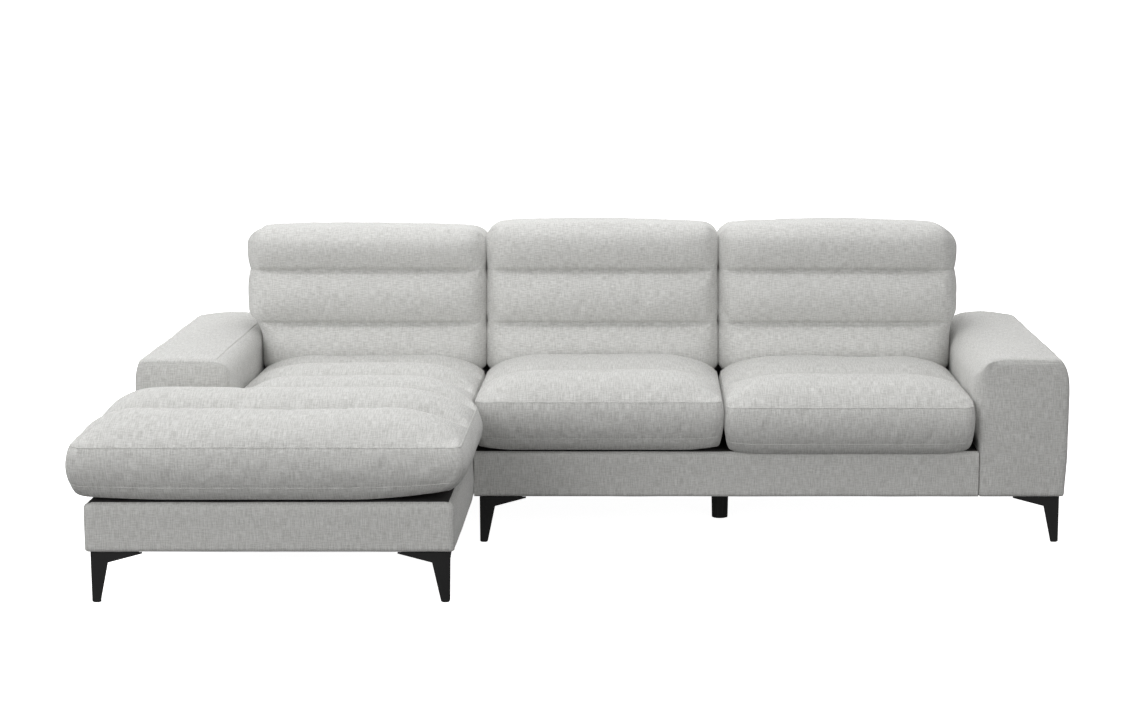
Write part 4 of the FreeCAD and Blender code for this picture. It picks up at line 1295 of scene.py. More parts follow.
@dataclass
class BackCushion:
    """A loose back cushion with two sewn channels and rounded edges."""

    name: str
    workshop: Workshop
    arm_side: int = 0
    arm_face: float = 0.0
    arm_top: float = 0.576
    pitch: float = 0.010
    lean: float = 0.045
    front_inset: float = 0.010
    edge: float = 0.048
    top_corner: float = 0.0432
    bottom_corner: float = 0.0336
    rear_edge: float = 0.03
    rear_foot: float = 0.018
    crown: float = 0.010
    top_wave: float = 0.004
    arm_gap: float = 0.002
    under_arm_top: float = 0.036
    over_arm_top: float = 0.049
    swell_cap: float = 0.004
    corner_fold: float = 0.0016
    hollow: float = 0.0008
    panel_bulge: float = 0.038
    side_bulge: float = 0.008
    outer_corner: float = 0.043
    top_drop: float = 0.0
    lower_share: float = 0.334
    upper_share: float = 0.687
    channel: Channel = Channel(depth=0.010, width=0.0040, sharpness=1.2, pucker=0.0009, spacing=0.018)
    seed: int = 21

    def __post_init__(self) -> None:
        """Read the cushion's box."""
        self.low, self.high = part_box(self.name + "_cover")
        self.front = self.low.y + self.front_inset
        height = self.high.z - self.low.z
        self.channels = (self.low.z + height * self.lower_share, self.low.z + height * self.upper_share)

    def round_block(self, points: Array) -> None:
        """Round the twelve edges of the block."""
        faces = box_faces((self.low.x, self.front, self.low.z), self.high)
        for across in ("left", "right"):
            outer = self.arm_side == faces[across].way
            round_edges(points, faces, (
                (across, "front", self.edge), (across, "rear", self.rear_edge),
                (across, "top", self.outer_corner if outer else self.top_corner),
                (across, "bottom", self.bottom_corner),
            ))
        round_edges(points, faces, (
            ("front", "top", self.edge), ("front", "bottom", self.edge),
            ("rear", "top", self.rear_edge), ("rear", "bottom", self.rear_foot),
        ))

    def shape(self, cut: Array) -> Array:
        """Shape points of the uncut block into the stuffed cushion.

        Args:
            cut: Places on the block.

        Returns:
            The same points on the cushion.
        """
        points = cut.copy()
        self.round_block(points)
        height = (cut[:, 2] - self.low.z) / (self.high.z - self.low.z)
        depth = (cut[:, 1] - self.front) / (self.high.y - self.front)
        across = (cut[:, 0] - self.low.x) / (self.high.x - self.low.x)
        forward = 1 - depth
        raised = np.clip((points[:, 2] - self.low.z) / (self.high.z - self.low.z), 0, 1)
        points[:, 1] += self.lean * raised * forward
        crown = 1 - (2 * across - 1) ** 2
        sides = 1 - np.abs(2 * across - 1) ** 6
        middle = 1 - np.abs(2 * height - 1) ** 4
        profile = self.panel_profile(points[:, 2])
        bulge = profile * self.panel_bulge * sides
        points[:, 1] -= (bulge + self.crown * crown * middle) * ease(forward, 0.45, 1)
        wave = self.top_wave * lattice_noise(np.c_[cut[:, 0] * 4, height * 0, height * 0], self.seed)
        points[:, 2] -= (self.crown * (1 - crown) + self.top_drop - wave) * ease(height, 0.7, 1)
        aside = (2 * across - 1) ** 5 * np.sqrt(profile) * ease(forward, -0.2, 0.5)
        free = ease(points[:, 2], self.arm_top, self.arm_top + 0.05)
        outward = np.where(np.sign(aside) == self.arm_side, self.side_bulge * free, 0.0)
        points[:, 0] += aside * outward
        self.clear_arm(points)
        return points

    def panel_profile(self, height: Array) -> Array:
        """Give how far each sewn panel stands out at a height, from 0 to 1."""
        marks = (self.low.z - 0.05, *self.channels, self.high.z + 0.02)
        out = np.zeros(len(height))
        for start, end in zip(marks, marks[1:]):
            share = np.clip((height - start) / (end - start), 0, 1)
            inside = (height >= start) & (height <= end)
            out = np.where(inside, 1 - (2 * share - 1) ** 2, out)
        return out

    def clear_arm(self, points: Array) -> None:
        """Draw the cushion in beside the arm, and let it lie over the arm's round edge."""
        if not self.arm_side:
            return
        outer = self.high.x if self.arm_side > 0 else self.low.x
        middle = (self.low.x + self.high.x) / 2
        beside = self.arm_face - self.arm_side * self.arm_gap
        over = ease(points[:, 2], self.arm_top - self.under_arm_top, self.arm_top + self.over_arm_top)
        room = beside + (outer - beside) * over
        share = np.clip((points[:, 0] - middle) / (outer - middle), 0, 1)
        near = ease(share, 0.55, 1)
        points[:, 0] += (room - outer) * near

    def held(self, cut: Array) -> Array:
        """Give how firmly seams hold each point."""
        front = cut[:, 1] < self.front + NEAR
        firm = cut[:, 1] > self.high.y - NEAR
        firm |= cut[:, 2] < self.low.z + NEAR
        for channel in self.channels:
            firm |= front & (np.abs(cut[:, 2] - channel) < NEAR)
        return firm.astype(float)

    def detail(self, thing: bpy.types.Object) -> None:
        """Press the channels, puckers and small folds into the finished cover."""
        mesh = thing.data
        cut, points, normals = cut_points(mesh), mesh_points(mesh), mesh_normals(mesh)
        front = ease(cut[:, 1], self.front + 0.03, self.front)
        aside = np.minimum(cut[:, 0] - self.low.x, self.high.x - cut[:, 0])
        move = np.zeros(len(points))
        fade = ease(aside, 0.0, 0.05) * 0.85 + 0.15
        for number, channel in enumerate(self.channels):
            off = np.abs(cut[:, 2] - channel)
            move += front * self.channel.press(cut[:, 0], off, fade, number, self.seed)
        upper = ease(cut[:, 2], self.high.z - 0.10, self.high.z)
        corner = upper * ease(aside, 0.14, 0.02)
        place = np.c_[(cut[:, 0] + cut[:, 2]) / 0.03, cut[:, 1] / 0.09, cut[:, 2] / 0.2]
        fan = lattice_noise(place, self.seed + 2)
        move += corner * self.corner_fold * fan
        move += self.hollow * lattice_noise(cut / 0.05, self.seed + 1)
        set_points(mesh, points + normals * move[:, None])

    def build(self) -> bpy.types.Object:
        """Cut, stuff and sew the cushion.

        Returns:
            The finished cover.
        """
        beside = [channel + off for channel in self.channels for off in (-0.004, 0.0, 0.004)]
        block = GridBlock(ruled_lines((self.low.x, self.high.x), self.pitch),
                          ruled_lines((self.front, self.high.y), self.pitch),
                          ruled_lines((self.low.z, *beside, self.high.z), self.pitch))
        cut, faces, panels = block.build()
        thing = fabric_object(self.name, cut, self.shape(cut), faces, panels, crosswise=True)
        Inflation(cap=self.swell_cap).run(thing, self.held(cut))
        subdivide(thing)
        self.detail(thing)
        self.workshop.hand_over(thing, Finish.CUSHION, (self.name + "_cover",), 0.85)
        # Painted light: the back cushions wear the lighter copy of the chenille, brighter than the seat
        # cushions' cloth of the same fabric.
        thing.data.materials[0] = self.workshop.palette.painted_light_back_cloth
        return thing


# Arms, base and back


@dataclass
class Arm:
    """A padded arm, from the underside of the base to its soft top."""

    name: str
    side: int
    workshop: Workshop
    back_face: float
    deck: float = 0.280
    pitch: float = 0.012
    foot_inset: float = 0.008
    swell: float = 0.016
    shoulder: float = 0.029
    shoulder_drop: float = 0.116
    shoulder_power: float = 3.4
    crown: float = 0.009
    inner_edge: float = 0.046
    inner_front: float = 0.045
    front_welt: float = 0.0016
    front_edge: float = 0.030
    front_seam: float = 0.009
    front_bulge: float = 0.009
    outer_edge: float = 0.008
    outer_front: float = 0.014
    rear_rise: float = 0.009
    rear_corner: float = 0.045
    rear_edge: float = 0.010
    foot_side: float = 0.005
    foot_end: float = 0.006
    seam_press: float = 0.0024
    seam_width: float = 0.003
    dart: float = 0.0
    dart_width: float = 0.012
    hollow: float = 0.0016
    ripple: float = 0.0007
    seed: int = 41

    def __post_init__(self) -> None:
        """Read the arm's box."""
        self.low, self.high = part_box(self.name + "_cover")
        self.outer = self.high.x if self.side > 0 else self.low.x
        self.width = self.high.x - self.low.x - self.swell
        self.seam_height = self.high.z - self.crown

    def shape(self, cut: Array) -> Array:
        """Shape points of the uncut block, whose X counts from the arm's outer face, its left, inwards.

        Args:
            cut: Places on the block.

        Returns:
            The same points on the arm.
        """
        points = cut.copy()
        faces = box_faces((0.0, self.low.y, self.low.z), (self.width, self.high.y, self.seam_height))
        above_rail = ease(cut[:, 2], self.deck - 0.01, self.deck + 0.09)
        inner_front = self.foot_side + (self.inner_front - self.foot_side) * above_rail
        round_edges(points, faces, (
            ("right", "top", self.inner_edge), ("left", "top", self.outer_edge),
            ("front", "top", self.front_edge), ("rear", "top", self.rear_edge),
            ("left", "front", self.outer_front), ("left", "rear", self.rear_corner),
            ("left", "bottom", self.foot_side), ("right", "front", inner_front),
            ("right", "rear", self.rear_edge), ("right", "bottom", self.foot_side),
            ("front", "bottom", self.foot_end), ("rear", "bottom", self.foot_end),
        ))
        height = points[:, 2]
        fullest = self.seam_height - self.shoulder_drop
        low_share = np.clip((fullest - height) / (fullest - self.low.z), 0, 1)
        rise = np.clip((height - fullest) / self.shoulder_drop, 0, 1)
        outset = self.foot_inset * low_share ** 2 + self.shoulder * rise ** self.shoulder_power
        before_back = ease(points[:, 1], self.back_face, self.back_face - 0.04)
        swollen = self.swell * ease(height, self.deck, self.deck + 0.10) * before_back
        share = points[:, 0] / self.width
        inward = outset + share * (self.width + swollen - outset)
        across = np.clip((share - 0.1) / 0.72, 0, 1)
        cap = ease(height, self.seam_height - 0.03, self.seam_height)
        cap = cap * (0.25 + 0.75 * ease(points[:, 1], self.low.y, self.low.y + 0.12))
        points[:, 2] += self.crown * (1 - (2 * across - 1) ** 2) * cap
        back_share = np.clip((points[:, 1] - self.low.y) / (self.high.y - self.low.y), 0, 1)
        points[:, 2] += self.rear_rise * back_share * ease(height, self.deck, self.seam_height)
        face_share = np.clip((height - self.low.z) / (self.seam_height - self.low.z), 0, 1)
        bulge = self.front_bulge * (1 - (2 * np.clip(share, 0, 1) - 1) ** 2)
        bulge *= np.abs(np.sin(face_share * math.pi)) ** 0.6
        points[:, 1] -= bulge * ease(points[:, 1], self.low.y + 0.05, self.low.y)
        points[:, 0] = self.outer - self.side * inward
        return points

    def detail(self, thing: bpy.types.Object) -> None:
        """Press soft hollows, the front seam and its dart into the cover."""
        mesh = thing.data
        cut, points, normals = cut_points(mesh), mesh_points(mesh), mesh_normals(mesh)
        move = self.hollow * lattice_noise(cut / 0.13, self.seed)
        move += self.ripple * lattice_noise(cut / 0.04, self.seed)
        soft = ease(cut[:, 2], self.low.z, self.low.z + 0.05)
        inner = np.clip((cut[:, 0] - self.width) / 0.01 + 1, 0, 1)
        keep = 1 - inner * ease(cut[:, 1], self.back_face - 0.26, self.back_face - 0.22)
        front = ease(cut[:, 1], self.low.y + 0.02, self.low.y)
        seam = np.abs(cut[:, 2] - (self.seam_height - self.front_seam))
        along = ease(cut[:, 0], 0.0, 0.03) * ease(cut[:, 0], self.width - 0.01, self.width - 0.05)
        move -= self.seam_press * front * along * np.exp(-(seam / self.seam_width) ** 2)
        dart = np.hypot(cut[:, 0] - (self.width - 0.045), (cut[:, 2] - self.seam_height + 0.02))
        move -= self.dart * front * np.exp(-(dart / self.dart_width) ** 2)
        set_points(mesh, points + normals * (move * soft * keep)[:, None])

    def build(self) -> bpy.types.Object:
        """Cut, pad and sew the arm."""
        seam_lines = [self.seam_height - self.front_seam + off for off in (-0.004, 0.0, 0.004)]
        block = GridBlock(ruled_lines((0.0, self.width), self.pitch),
                          ruled_lines((self.low.y, self.high.y), self.pitch),
                          ruled_lines((self.low.z, self.deck, *seam_lines, self.seam_height), self.pitch))
        cut, faces, panels = block.build()
        if self.side > 0:
            faces = [tuple(reversed(face)) for face in faces]
        thing = fabric_object(self.name, cut, self.shape(cut), faces, panels)
        subdivide(thing)
        self.detail(thing)
        self.workshop.hand_over(thing, Finish.BASE, (self.name + "_cover",), 0.9)
        self.sew_seams(Surface(thing))
        return thing

    def sew_seams(self, surface: Surface) -> None:
        """Sew the seam along the front of the top, and on the left arm the one along its inner edge."""
        front_seam = self.seam_height - self.front_seam
        seams = [np.linspace((0.012, self.low.y, front_seam),
                             (self.width - 0.04, self.low.y, front_seam), 40)]
        if self.side < 0:
            across = self.width - self.inner_edge * 0.8
            seams.append(np.linspace((across, self.low.y + 0.006, self.seam_height),
                                     (across, self.high.y - 0.01, self.seam_height), 90))
        for seam in seams:
            laid = surface.lay(self.shape(seam), 0.0005)
            self.workshop.sew(self.name + "_welts", laid, self.workshop.welts, "frame", Finish.BASE,
                              {"Radius": self.front_welt})


@dataclass
class PaddedPanel:
    """A covered panel or pad: a block with soft edges and slight hollows."""

    name: str
    workshop: Workshop
    finish: Finish
    rounded: tuple[tuple[str, str, float], ...]
    pitch: float = 0.012
    waviness: float = 0.0012
    fill: float = 0.5
    seed: int = 60
    swell: float = 0.0
    swell_end: float = 0.0

    def build(self) -> bpy.types.Object:
        """Cut and pad the panel."""
        low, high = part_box(self.name)
        places = box_faces(low, high)
        lines = []
        for start, end in zip(low, high):
            near = min(max(radius for *_, radius in self.rounded), (end - start) / 2.1)
            steps = [near * share for share in (0.0, 0.15, 0.35, 0.6, 1.0)]
            marks = [start + step for step in steps] + [end - step for step in steps]
            lines.append(ruled_lines(marks, self.pitch))
        block = GridBlock(*lines)
        cut, faces, panels = block.build()
        points = cut.copy()
        round_edges(points, places, self.rounded)
        hollow = self.waviness * (lattice_noise(cut / 0.11, self.seed) - 1)
        for face in (places[name] for name in {name for *pair, _ in self.rounded for name in pair}):
            points[:, face.axis.value] += np.where(face.holds(cut), face.way * hollow, 0)
        if self.swell:
            up = (cut[:, 2] - low.z) / (high.z - low.z)
            free = ease(cut[:, 1], self.swell_end, self.swell_end - 0.08)
            full = (1 - (2 * up - 1) ** 2) * free * ease(cut[:, 1], low.y, low.y + 0.08)
            points[:, 0] += np.where(places["right"].holds(cut), self.swell * full, 0)
        thing = fabric_object(self.name + "_cloth", cut, points, faces, panels)
        self.workshop.hand_over(thing, self.finish, (self.name,), self.fill)
        return thing


@dataclass
class OuterBack:
    """The cover over the top, down the outside and over the free end of a fixed back."""

    name: str
    workshop: Workshop
    pad_bottom: float
    end: int
    end_bottom: float = 0.455
    end_cover: float = 0.004
    cover: float = 0.012
    rounding: float = 0.010
    foot_rounding: float = 0.006
    waviness: float = 0.0015
    pitch: float = 0.02
    seed: int = 77

    def build(self) -> bpy.types.Object:
        """Cut and fit the cover."""
        low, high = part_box(self.name)
        inner, outer = high.y - self.cover, high.x if self.end > 0 else low.x
        tip = outer + self.end * self.end_cover
        depth = (low.y, low.y + self.rounding, inner, inner + self.cover / 2, high.y)
        height = (self.pad_bottom, high.z - self.rounding, high.z)
        turn = (1, 2, 0)
        cut, faces, panels = GridBlock(
            ruled_lines(depth, self.pitch), ruled_lines((low.z, *height), self.pitch),
            ruled_lines((low.x, high.x), self.pitch),
            lambda along, up: along > inner or up > self.pad_bottom, turn,
        ).build()
        end_cut, end_faces, end_panels = GridBlock(
            ruled_lines(depth, self.pitch / 2), ruled_lines((self.end_bottom, *height), self.pitch / 2),
            ruled_lines((outer, tip), self.end_cover / 2), turn=turn,
        ).build()
        faces += [tuple(corner + len(cut) for corner in face) for face in end_faces]
        cut = np.vstack([cut, end_cut])
        points = cut.copy()
        places = box_faces(low, high) | {"end": Face(Axis.X, tip, self.end)}
        round_edges(points, places, (
            ("rear", "top", self.rounding), ("front", "top", self.rounding),
            ("rear", "bottom", self.foot_rounding), ("end", "front", self.end_cover),
            ("end", "rear", self.end_cover), ("end", "top", self.end_cover),
        ))
        hollow = self.waviness * (lattice_noise(cut / 0.16, self.seed) - 1)
        for face in (places["rear"], places["top"]):
            points[:, face.axis.value] += np.where(face.holds(cut), hollow, 0)
        thing = fabric_object(self.name + "_cloth", cut, points, faces, panels + end_panels)
        self.workshop.hand_over(thing, Finish.BASE, (self.name,), 0.4)
        return thing


@dataclass
class MetalPiece:
    """A rigid piece whose sharp edges get the small radius of the real one."""

    name: str
    workshop: Workshop
    finish: Finish
    edge: float = 0.0007
    weld: float = 1e-5

    def build(self) -> bpy.types.Object:
        """Copy the node's mesh, merge its doubled corners and round its edges."""
        mesh = frame["nodes"][self.name].data.copy()
        mesh.name = self.name + "_finished"
        builder = bmesh.new()
        builder.from_mesh(mesh)
        bmesh.ops.remove_doubles(builder, verts=builder.verts, dist=self.weld)
        bmesh.ops.dissolve_limit(builder, angle_limit=math.radians(1), verts=builder.verts,
                                 edges=builder.edges)
        builder.to_mesh(mesh)
        builder.free()
        thing = collection_link(bpy.data.objects.new(self.name + "_finished", mesh))
        soften_edges(thing, self.edge)
        self.workshop.hand_over(thing, self.finish, (self.name,))
        return thing


@dataclass
class Glides:
    """The small square pads under the feet of the legs."""

    workshop: Workshop
    inset: float = 0.002
    corner: float = 0.003
    edge: float = 0.0008

    def build(self) -> bpy.types.Object:
        """Cut one pad for each foot and join them."""
        builder = bmesh.new()
        _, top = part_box("leg_glides")
        for name in (name for name in frame["nodes"] if name.endswith("_leg")):
            points = mesh_points(frame["nodes"][name].data)
            foot = points[points[:, 2] < top.z + 0.001]
            low, high = foot.min(axis=0) + self.inset, foot.max(axis=0) - self.inset
            size = (high[0] - low[0], high[1] - low[1], top.z)
            middle = ((low[0] + high[0]) / 2, (low[1] + high[1]) / 2, top.z / 2)
            pad = Matrix.LocRotScale(middle, None, size)
            made = bmesh.ops.create_cube(builder, size=1.0, matrix=pad)
            edges = {edge for vert in made["verts"] for edge in vert.link_edges}
            upright = [edge for edge in edges
                       if abs(edge.verts[0].co.z - edge.verts[1].co.z) > top.z / 2]
            bmesh.ops.bevel(builder, geom=upright, offset=self.corner, segments=4, affect="EDGES")
        mesh = bpy.data.meshes.new("leg_glides_finished")
        builder.to_mesh(mesh)
        builder.free()
        thing = collection_link(bpy.data.objects.new("leg_glides_finished", mesh))
        soften_edges(thing, self.edge)
        self.workshop.hand_over(thing, Finish.PLASTIC, ("leg_glides",))
        return thing


@dataclass
class SeatLayer:
    """A flat layer under the seat of one section, cut out where an arm stands."""

    section: str
    workshop: Workshop
    notch: tuple[float, float] | None = None

    def lay_out(self, node: str) -> None:
        """Read the layer's box and the corner of its cut-out."""
        self.low, self.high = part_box(node)
        self.notch_x, self.notch_y = self.notch or (self.low.x, self.high.y)

    def inside(self, across: float, along: float) -> bool:
        """Tell whether a place lies in the layer."""
        return along < self.notch_y or across > self.notch_x


@dataclass
class Lining(SeatLayer):
    """The black cloth stapled under one section, slack between its edges."""

    sag: float = 0.006
    pitch: float = 0.03
    thickness: float = 0.0006
    clear: float = 0.155
    staple_inset: float = 0.014
    staple_pitch: float = 0.055
    seed: int = 90

    def build(self) -> bpy.types.Object:
        """Cut the cloth, hang it and staple its edges."""
        node = self.section + "_bottom_lining"
        self.lay_out(node)
        low, high, notch_x, notch_y = self.low, self.high, self.notch_x, self.notch_y
        height = low.z + self.thickness
        block = GridBlock(ruled_lines((low.x, notch_x, high.x), self.pitch),
                          ruled_lines((low.y, notch_y, high.y), self.pitch),
                          np.array([height, height + self.thickness]), self.inside)
        cut, faces, panels = block.build()
        inside = np.minimum.reduce([cut[:, 0] - low.x, high.x - cut[:, 0], cut[:, 1] - low.y,
                                    high.y - cut[:, 1]])
        beside = np.hypot(np.maximum(cut[:, 0] - notch_x, 0), np.maximum(notch_y - cut[:, 1], 0))
        slack = ease(np.minimum(inside, beside) if self.notch else inside, 0.05, 0.30)
        folds = 0.4 * lattice_noise(cut / 0.12, self.seed) + 0.7
        points = cut.copy()
        points[:, 2] -= self.sag * slack * folds
        thing = fabric_object(self.section + "_lining_cloth", cut, points, faces, panels)
        self.workshop.hand_over(thing, Finish.LINING, (node,))
        self.staple()
        return thing

    def staple(self) -> None:
        """Drive staples along the edges, between the legs."""
        low, high, inset, clear = self.low, self.high, self.staple_inset, self.clear
        height = low.z + self.thickness * 0.6
        ends = (
            ((low.x + clear, low.y + inset), (high.x - clear, low.y + inset)),
            ((high.x - inset, low.y + clear), (high.x - inset, high.y - clear)),
            ((high.x - clear, high.y - inset), (self.notch_x + clear, high.y - inset)),
            ((low.x + inset, self.notch_y - clear), (low.x + inset, low.y + clear)),
        )
        for start, end in ends:
            path = np.linspace((*start, height), (*end, height), 12)
            self.workshop.sew(self.section + "_lining_staples", path, self.workshop.staples, "frame",
                              Finish.ZINC, {"Pitch": self.staple_pitch})


@dataclass
class SeatDeck(SeatLayer):
    """The felt pad on the webbing, quilted in squares."""

    edge: float = 0.007
    press: float = 0.0022
    unevenness: float = 0.0008
    row: float = 0.085
    pitch: float = 0.014
    seed: int = 95

    def build(self) -> bpy.types.Object:
        """Cut and quilt the pad."""
        node = self.section + "_seat_deck"
        self.lay_out(node)
        low, high = self.low, self.high
        marks_x = (low.x, low.x + self.edge, self.notch_x, high.x - self.edge, high.x)
        marks_y = (low.y, low.y + self.edge, self.notch_y, high.y - self.edge, high.y)
        block = GridBlock(ruled_lines(marks_x, self.pitch), ruled_lines(marks_y, self.pitch),
                          ruled_lines((low.z, high.z - self.edge, high.z), self.pitch), self.inside)
        cut, faces, panels = block.build()
        points = cut.copy()
        places = box_faces(low, high)
        around = ("left", "right", "front", "rear")
        round_edges(points, places, ((name, "top", self.edge) for name in around))
        row = np.abs(np.sin(math.pi * (cut[:, 1] - low.y) / self.row))
        column = np.abs(np.sin(math.pi * (cut[:, 0] - low.x) / self.row))
        quilt = 1 - np.minimum(row, column) ** 0.6
        dimple = self.press * quilt + self.unevenness * (1 - lattice_noise(cut / 0.06, self.seed))
        points[:, 2] -= np.where(places["top"].holds(cut), dimple, 0)
        thing = fabric_object(self.section + "_deck_felt", cut, points, faces, panels)
        self.workshop.hand_over(thing, Finish.FELT, (node,), 0.3)
        return thing


# The whole sofa and the studio


@dataclass
class Sofa:
    """The sectional sofa: base, backs, arms, legs and six loose cushions."""

    workshop: Workshop
    first_channel: float = 0.301
    channel_pitch: float = 0.280
    seat_channel: float = 0.300

    def build(self) -> None:
        """Build every piece in order."""
        self.dress_hidden_nodes()
        self.build_base()
        self.build_arms()
        self.build_cushions()
        self.build_legs()
        self.workshop.hand_over_sewing()

    def dress_hidden_nodes(self) -> None:
        """Give each node the finish of its slot."""
        slots = {part["node"]: part["material_slot"] for part in frame["record"]["subparts"]}
        for name, thing in frame["nodes"].items():
            finish = Finish(slots[name])
            if finish in (Finish.CUSHION, Finish.BASE):
                self.lay_box_map(thing)
            self.workshop.palette.dress(thing, finish)

    @staticmethod
    def lay_box_map(thing: bpy.types.Object) -> None:
        """Lay a cloth map on a node by the way that each face looks."""
        mesh = thing.data
        points = mesh_points(mesh)
        layer = mesh.uv_layers.get(CLOTH_MAP) or mesh.uv_layers.new(name=CLOTH_MAP)
        place = np.zeros((len(mesh.loops), 2))
        for polygon in mesh.polygons:
            axis = max(range(3), key=lambda column: abs(polygon.normal[column]))
            columns = [column for column in range(3) if column != axis]
            for loop in polygon.loop_indices:
                place[loop] = points[mesh.loops[loop].vertex_index][columns]
        layer.data.foreach_set("uv", place.ravel())

    def build_base(self) -> None:
        """Build the covered panels, seat decks and fixed backs."""
        shop = self.workshop
        around_front = (("left", "front", 0.016), ("right", "front", 0.016), ("front", "top", 0.026),
                        ("front", "bottom", 0.012), ("left", "top", 0.024), ("right", "top", 0.024),
                        ("left", "bottom", 0.013), ("right", "bottom", 0.013))
        PaddedPanel("chaise_front_panel", shop, Finish.BASE, around_front, seed=61).build()
        seat_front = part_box("sofa_front_panel")[0].y
        for name, face, seed, swell in (("chaise_left_panel", "left", 62, 0.0),
                                        ("chaise_right_panel", "right", 63, 0.007),
                                        ("sofa_front_panel", "front", 64, 0.0)):
            level = ((face, "top", 0.022), (face, "bottom", 0.010))
            PaddedPanel(name, shop, Finish.BASE, level, seed=seed, swell=swell,
                        swell_end=seat_front - 0.01).build()
        pads = (("front", "top", 0.006), ("front", "left", 0.006), ("front", "right", 0.006))
        for section, end in (("chaise", -1), ("sofa", 1)):
            PaddedPanel(section + "_back_inner_pad", shop, Finish.BASE, pads, pitch=0.02,
                        fill=0.4).build()
            _, pad_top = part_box(section + "_back_inner_pad")
            OuterBack(section + "_outer_back", shop, pad_top.z, end).build()
        arm_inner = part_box("chaise_rear_rail")[0].x
        for section, corner in (("chaise", (arm_inner, seat_front)), ("sofa", None)):
            SeatDeck(section, shop, corner).build()
            Lining(section, shop, corner).build()

    def build_arms(self) -> None:
        """Build both arms."""
        back_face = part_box("sofa_back_inner_pad")[0].y
        Arm("left_arm", -1, self.workshop, back_face, shoulder=0.018, inner_front=0.016,
            front_edge=0.018, front_welt=0.0011, seed=41).build()
        Arm("right_arm", 1, self.workshop, back_face, inner_edge=0.078, front_edge=0.018,
            front_seam=0.003, dart=0.004, seed=43).build()

    def build_cushions(self) -> None:
        """Build the seat and back cushions."""
        shop = self.workshop
        rest_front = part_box("middle_back_cushion_cover")[0].y + BackCushion.front_inset
        arm_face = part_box("left_arm_cover")[1].x
        arm_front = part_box("left_arm_cover")[0].y
        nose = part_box("chaise_seat_cushion_cover")[0].y
        chaise_channels = tuple(nose + self.first_channel + self.channel_pitch * number
                                for number in range(4))
        ChaiseCushion("chaise_seat_cushion", shop, chaise_channels, rest_front, pitch=0.0115,
                      crests=(0.509, 0.518, 0.506, 0.499, 0.490), panel_rise=0.092,
                      corner_lifts=(0.010, 0.026), corner_reach=0.27,
                      arm_face=arm_face, arm_front=arm_front).build()
        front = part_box("middle_seat_cushion_cover")[0].y
        channels = (front + self.seat_channel,)
        SeatCushion("middle_seat_cushion", shop, channels, rest_front, seed=5).build()
        SeatCushion("right_seat_cushion", shop, channels, rest_front, crests=(0.487, 0.487),
                    droop=0.017, edge_lift=0.008, seed=8).build()
        right_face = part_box("right_arm_cover")[0].x
        BackCushion("chaise_back_cushion", shop, -1, arm_face, top_drop=0.014, seed=21).build()
        BackCushion("middle_back_cushion", shop, seed=24).build()
        BackCushion("right_back_cushion", shop, 1, right_face, outer_corner=0.072, seed=27).build()

    def build_legs(self) -> None:
        """Finish the legs and the centre foot."""
        for name in frame["nodes"]:
            if name.endswith("_leg"):
                MetalPiece(name, self.workshop, Finish.STEEL).build()
        MetalPiece("centre_foot", self.workshop, Finish.PLASTIC, 0.0015).build()
        Glides(self.workshop).build()


@dataclass(frozen=True)
class Lamp:
    """A square soft lamp that looks at the middle of the sofa."""

    name: str
    place: Point
    power: float
    size: float = 3.0
    target: Point = (0.0, 0.0, 0.4)

    def hang(self) -> None:
        """Hang the lamp."""
        light = bpy.data.lights.new(self.name, "AREA")
        light.size = self.size
        light.energy = self.power
        thing = collection_link(bpy.data.objects.new(self.name, light))
        thing.location = self.place
        look = Vector(self.target) - Vector(self.place)
        thing.rotation_euler = look.to_track_quat("-Z", "Y").to_euler()


LAMPS = (
    Lamp("key", (-3.2, -2.6, 4.2), 45),
    Lamp("top", (0.2, 0.0, 4.8), 45),
    Lamp("high", (0.0, 2.2, 5.2), 42),
    Lamp("left", (-3.4, -5.5, 1.6), 75),
    Lamp("right", (3.4, -5.5, 1.6), 48),
    Lamp("rear", (0.0, 3.6, 3.6), 58),
    Lamp("side", (-5.0, 0.5, 3.0), 55),
)
SKY = (
    (0.0, (0.08, 0.078, 0.075)), (1.0, grey(0.51)), (0.48, grey(0.08)), (0.496, grey(1.0)),
    (0.504, grey(1.0)), (0.51, grey(0.51)),
)


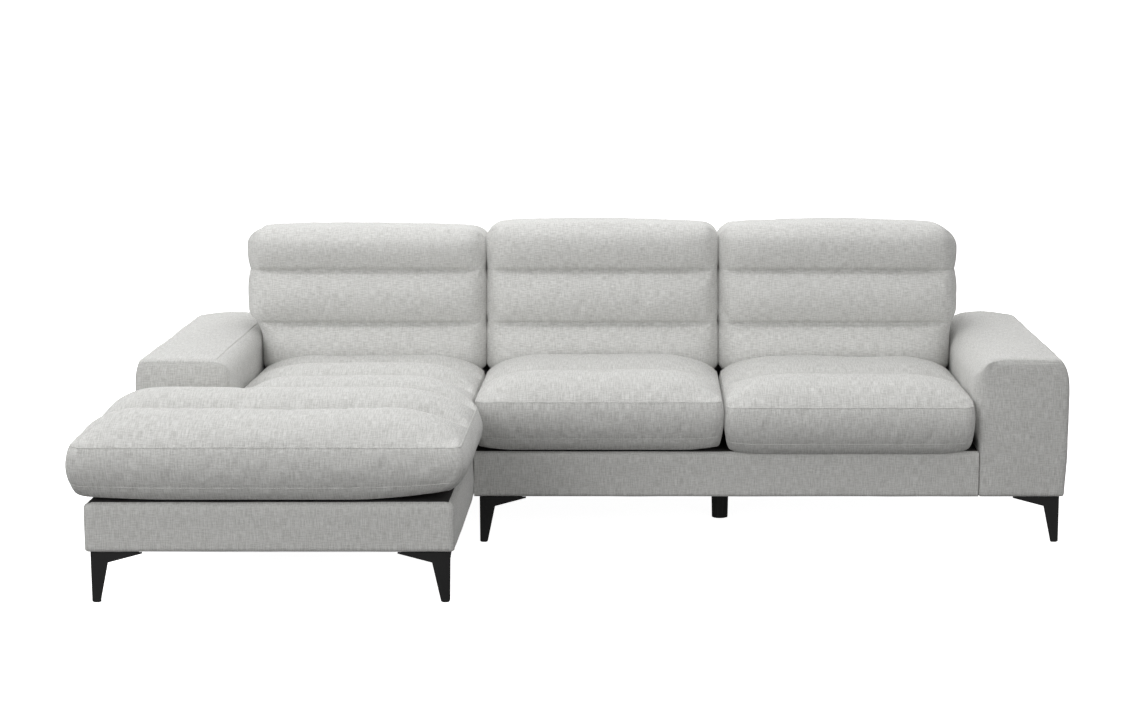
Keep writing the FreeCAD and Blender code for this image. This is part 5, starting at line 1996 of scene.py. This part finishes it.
@dataclass
class Studio:
    """A plain pale floor, soft light from above and from both sides, and the camera."""

    floor_size: float = 40000.0
    floor_tone: float = 0.93
    floor_glow: float = 0.96
    focal_length: float = 72.32
    shift: float = -0.0688
    camera_place: Point = (0.1506, -6.8338, 1.6133)
    camera_tilt: float = 81.073

    def build(self) -> None:
        """Set up the floor, the lights and the camera."""
        self.build_floor()
        self.build_lights()
        self.build_camera()
        bpy.context.scene.view_settings.view_transform = "Standard"

    def build_floor(self) -> None:
        """Lay a plain floor."""
        half = self.floor_size / 2
        mesh = bpy.data.meshes.new("floor")
        corners = [(-half, -half, 0), (half, -half, 0), (half, half, 0), (-half, half, 0)]
        mesh.from_pydata(corners, [], [(0, 1, 2, 3)])
        floor = collection_link(bpy.data.objects.new("floor", mesh))
        mesh.materials.append(ShaderTree("floor").finish({
            "Base Color": (*grey(self.floor_tone), 1), "Roughness": 1.0, "Specular IOR Level": 0.0,
            "Emission Color": (*grey(1.0), 1), "Emission Strength": self.floor_glow,
        }))
        floor.visible_diffuse = False
        floor.visible_glossy = False

    def build_lights(self) -> None:
        """Light the room: pale above, dark below, white along the horizon, with the lamps."""
        world = bpy.data.worlds.new("studio")
        bpy.context.scene.world = world
        world.use_nodes = True
        tree = world.node_tree
        tree.nodes.clear()
        place = tree.nodes.new("ShaderNodeTexCoord")
        parts = tree.nodes.new("ShaderNodeSeparateXYZ")
        ramp = tree.nodes.new("ShaderNodeValToRGB")
        background = tree.nodes.new("ShaderNodeBackground")
        output = tree.nodes.new("ShaderNodeOutputWorld")
        mapped = tree.nodes.new("ShaderNodeMapRange")
        mapped.inputs[1].default_value = -1
        stops = ramp.color_ramp.elements
        made = [stops[0], stops[1]]
        for number, (position, colour) in enumerate(SKY):
            stop = made[number] if number < len(made) else stops.new(position)
            stop.position, stop.color = position, (*colour, 1)
        tree.links.new(place.outputs["Generated"], parts.inputs[0])
        tree.links.new(parts.outputs[2], mapped.inputs[0])
        tree.links.new(mapped.outputs[0], ramp.inputs[0])
        tree.links.new(ramp.outputs[0], background.inputs[0])
        tree.links.new(background.outputs[0], output.inputs[0])
        for lamp in LAMPS:
            lamp.hang()

    def build_camera(self) -> None:
        """Stand the camera where the photograph was taken."""
        lens = bpy.data.cameras.new("camera")
        lens.sensor_width = 36.0
        lens.lens = self.focal_length
        lens.shift_x = self.shift
        lens.clip_end = self.floor_size * 2
        thing = collection_link(bpy.data.objects.new("camera", lens))
        thing.location = self.camera_place
        thing.rotation_euler = (math.radians(self.camera_tilt), 0, 0)
        bpy.context.scene.camera = thing


def main() -> None:
    """Build the sofa and the studio."""
    logging.basicConfig(level=logging.INFO, format="%(message)s")
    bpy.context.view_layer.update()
    Sofa(Workshop()).build()
    Studio().build()


if __name__ == "__main__":
    main()
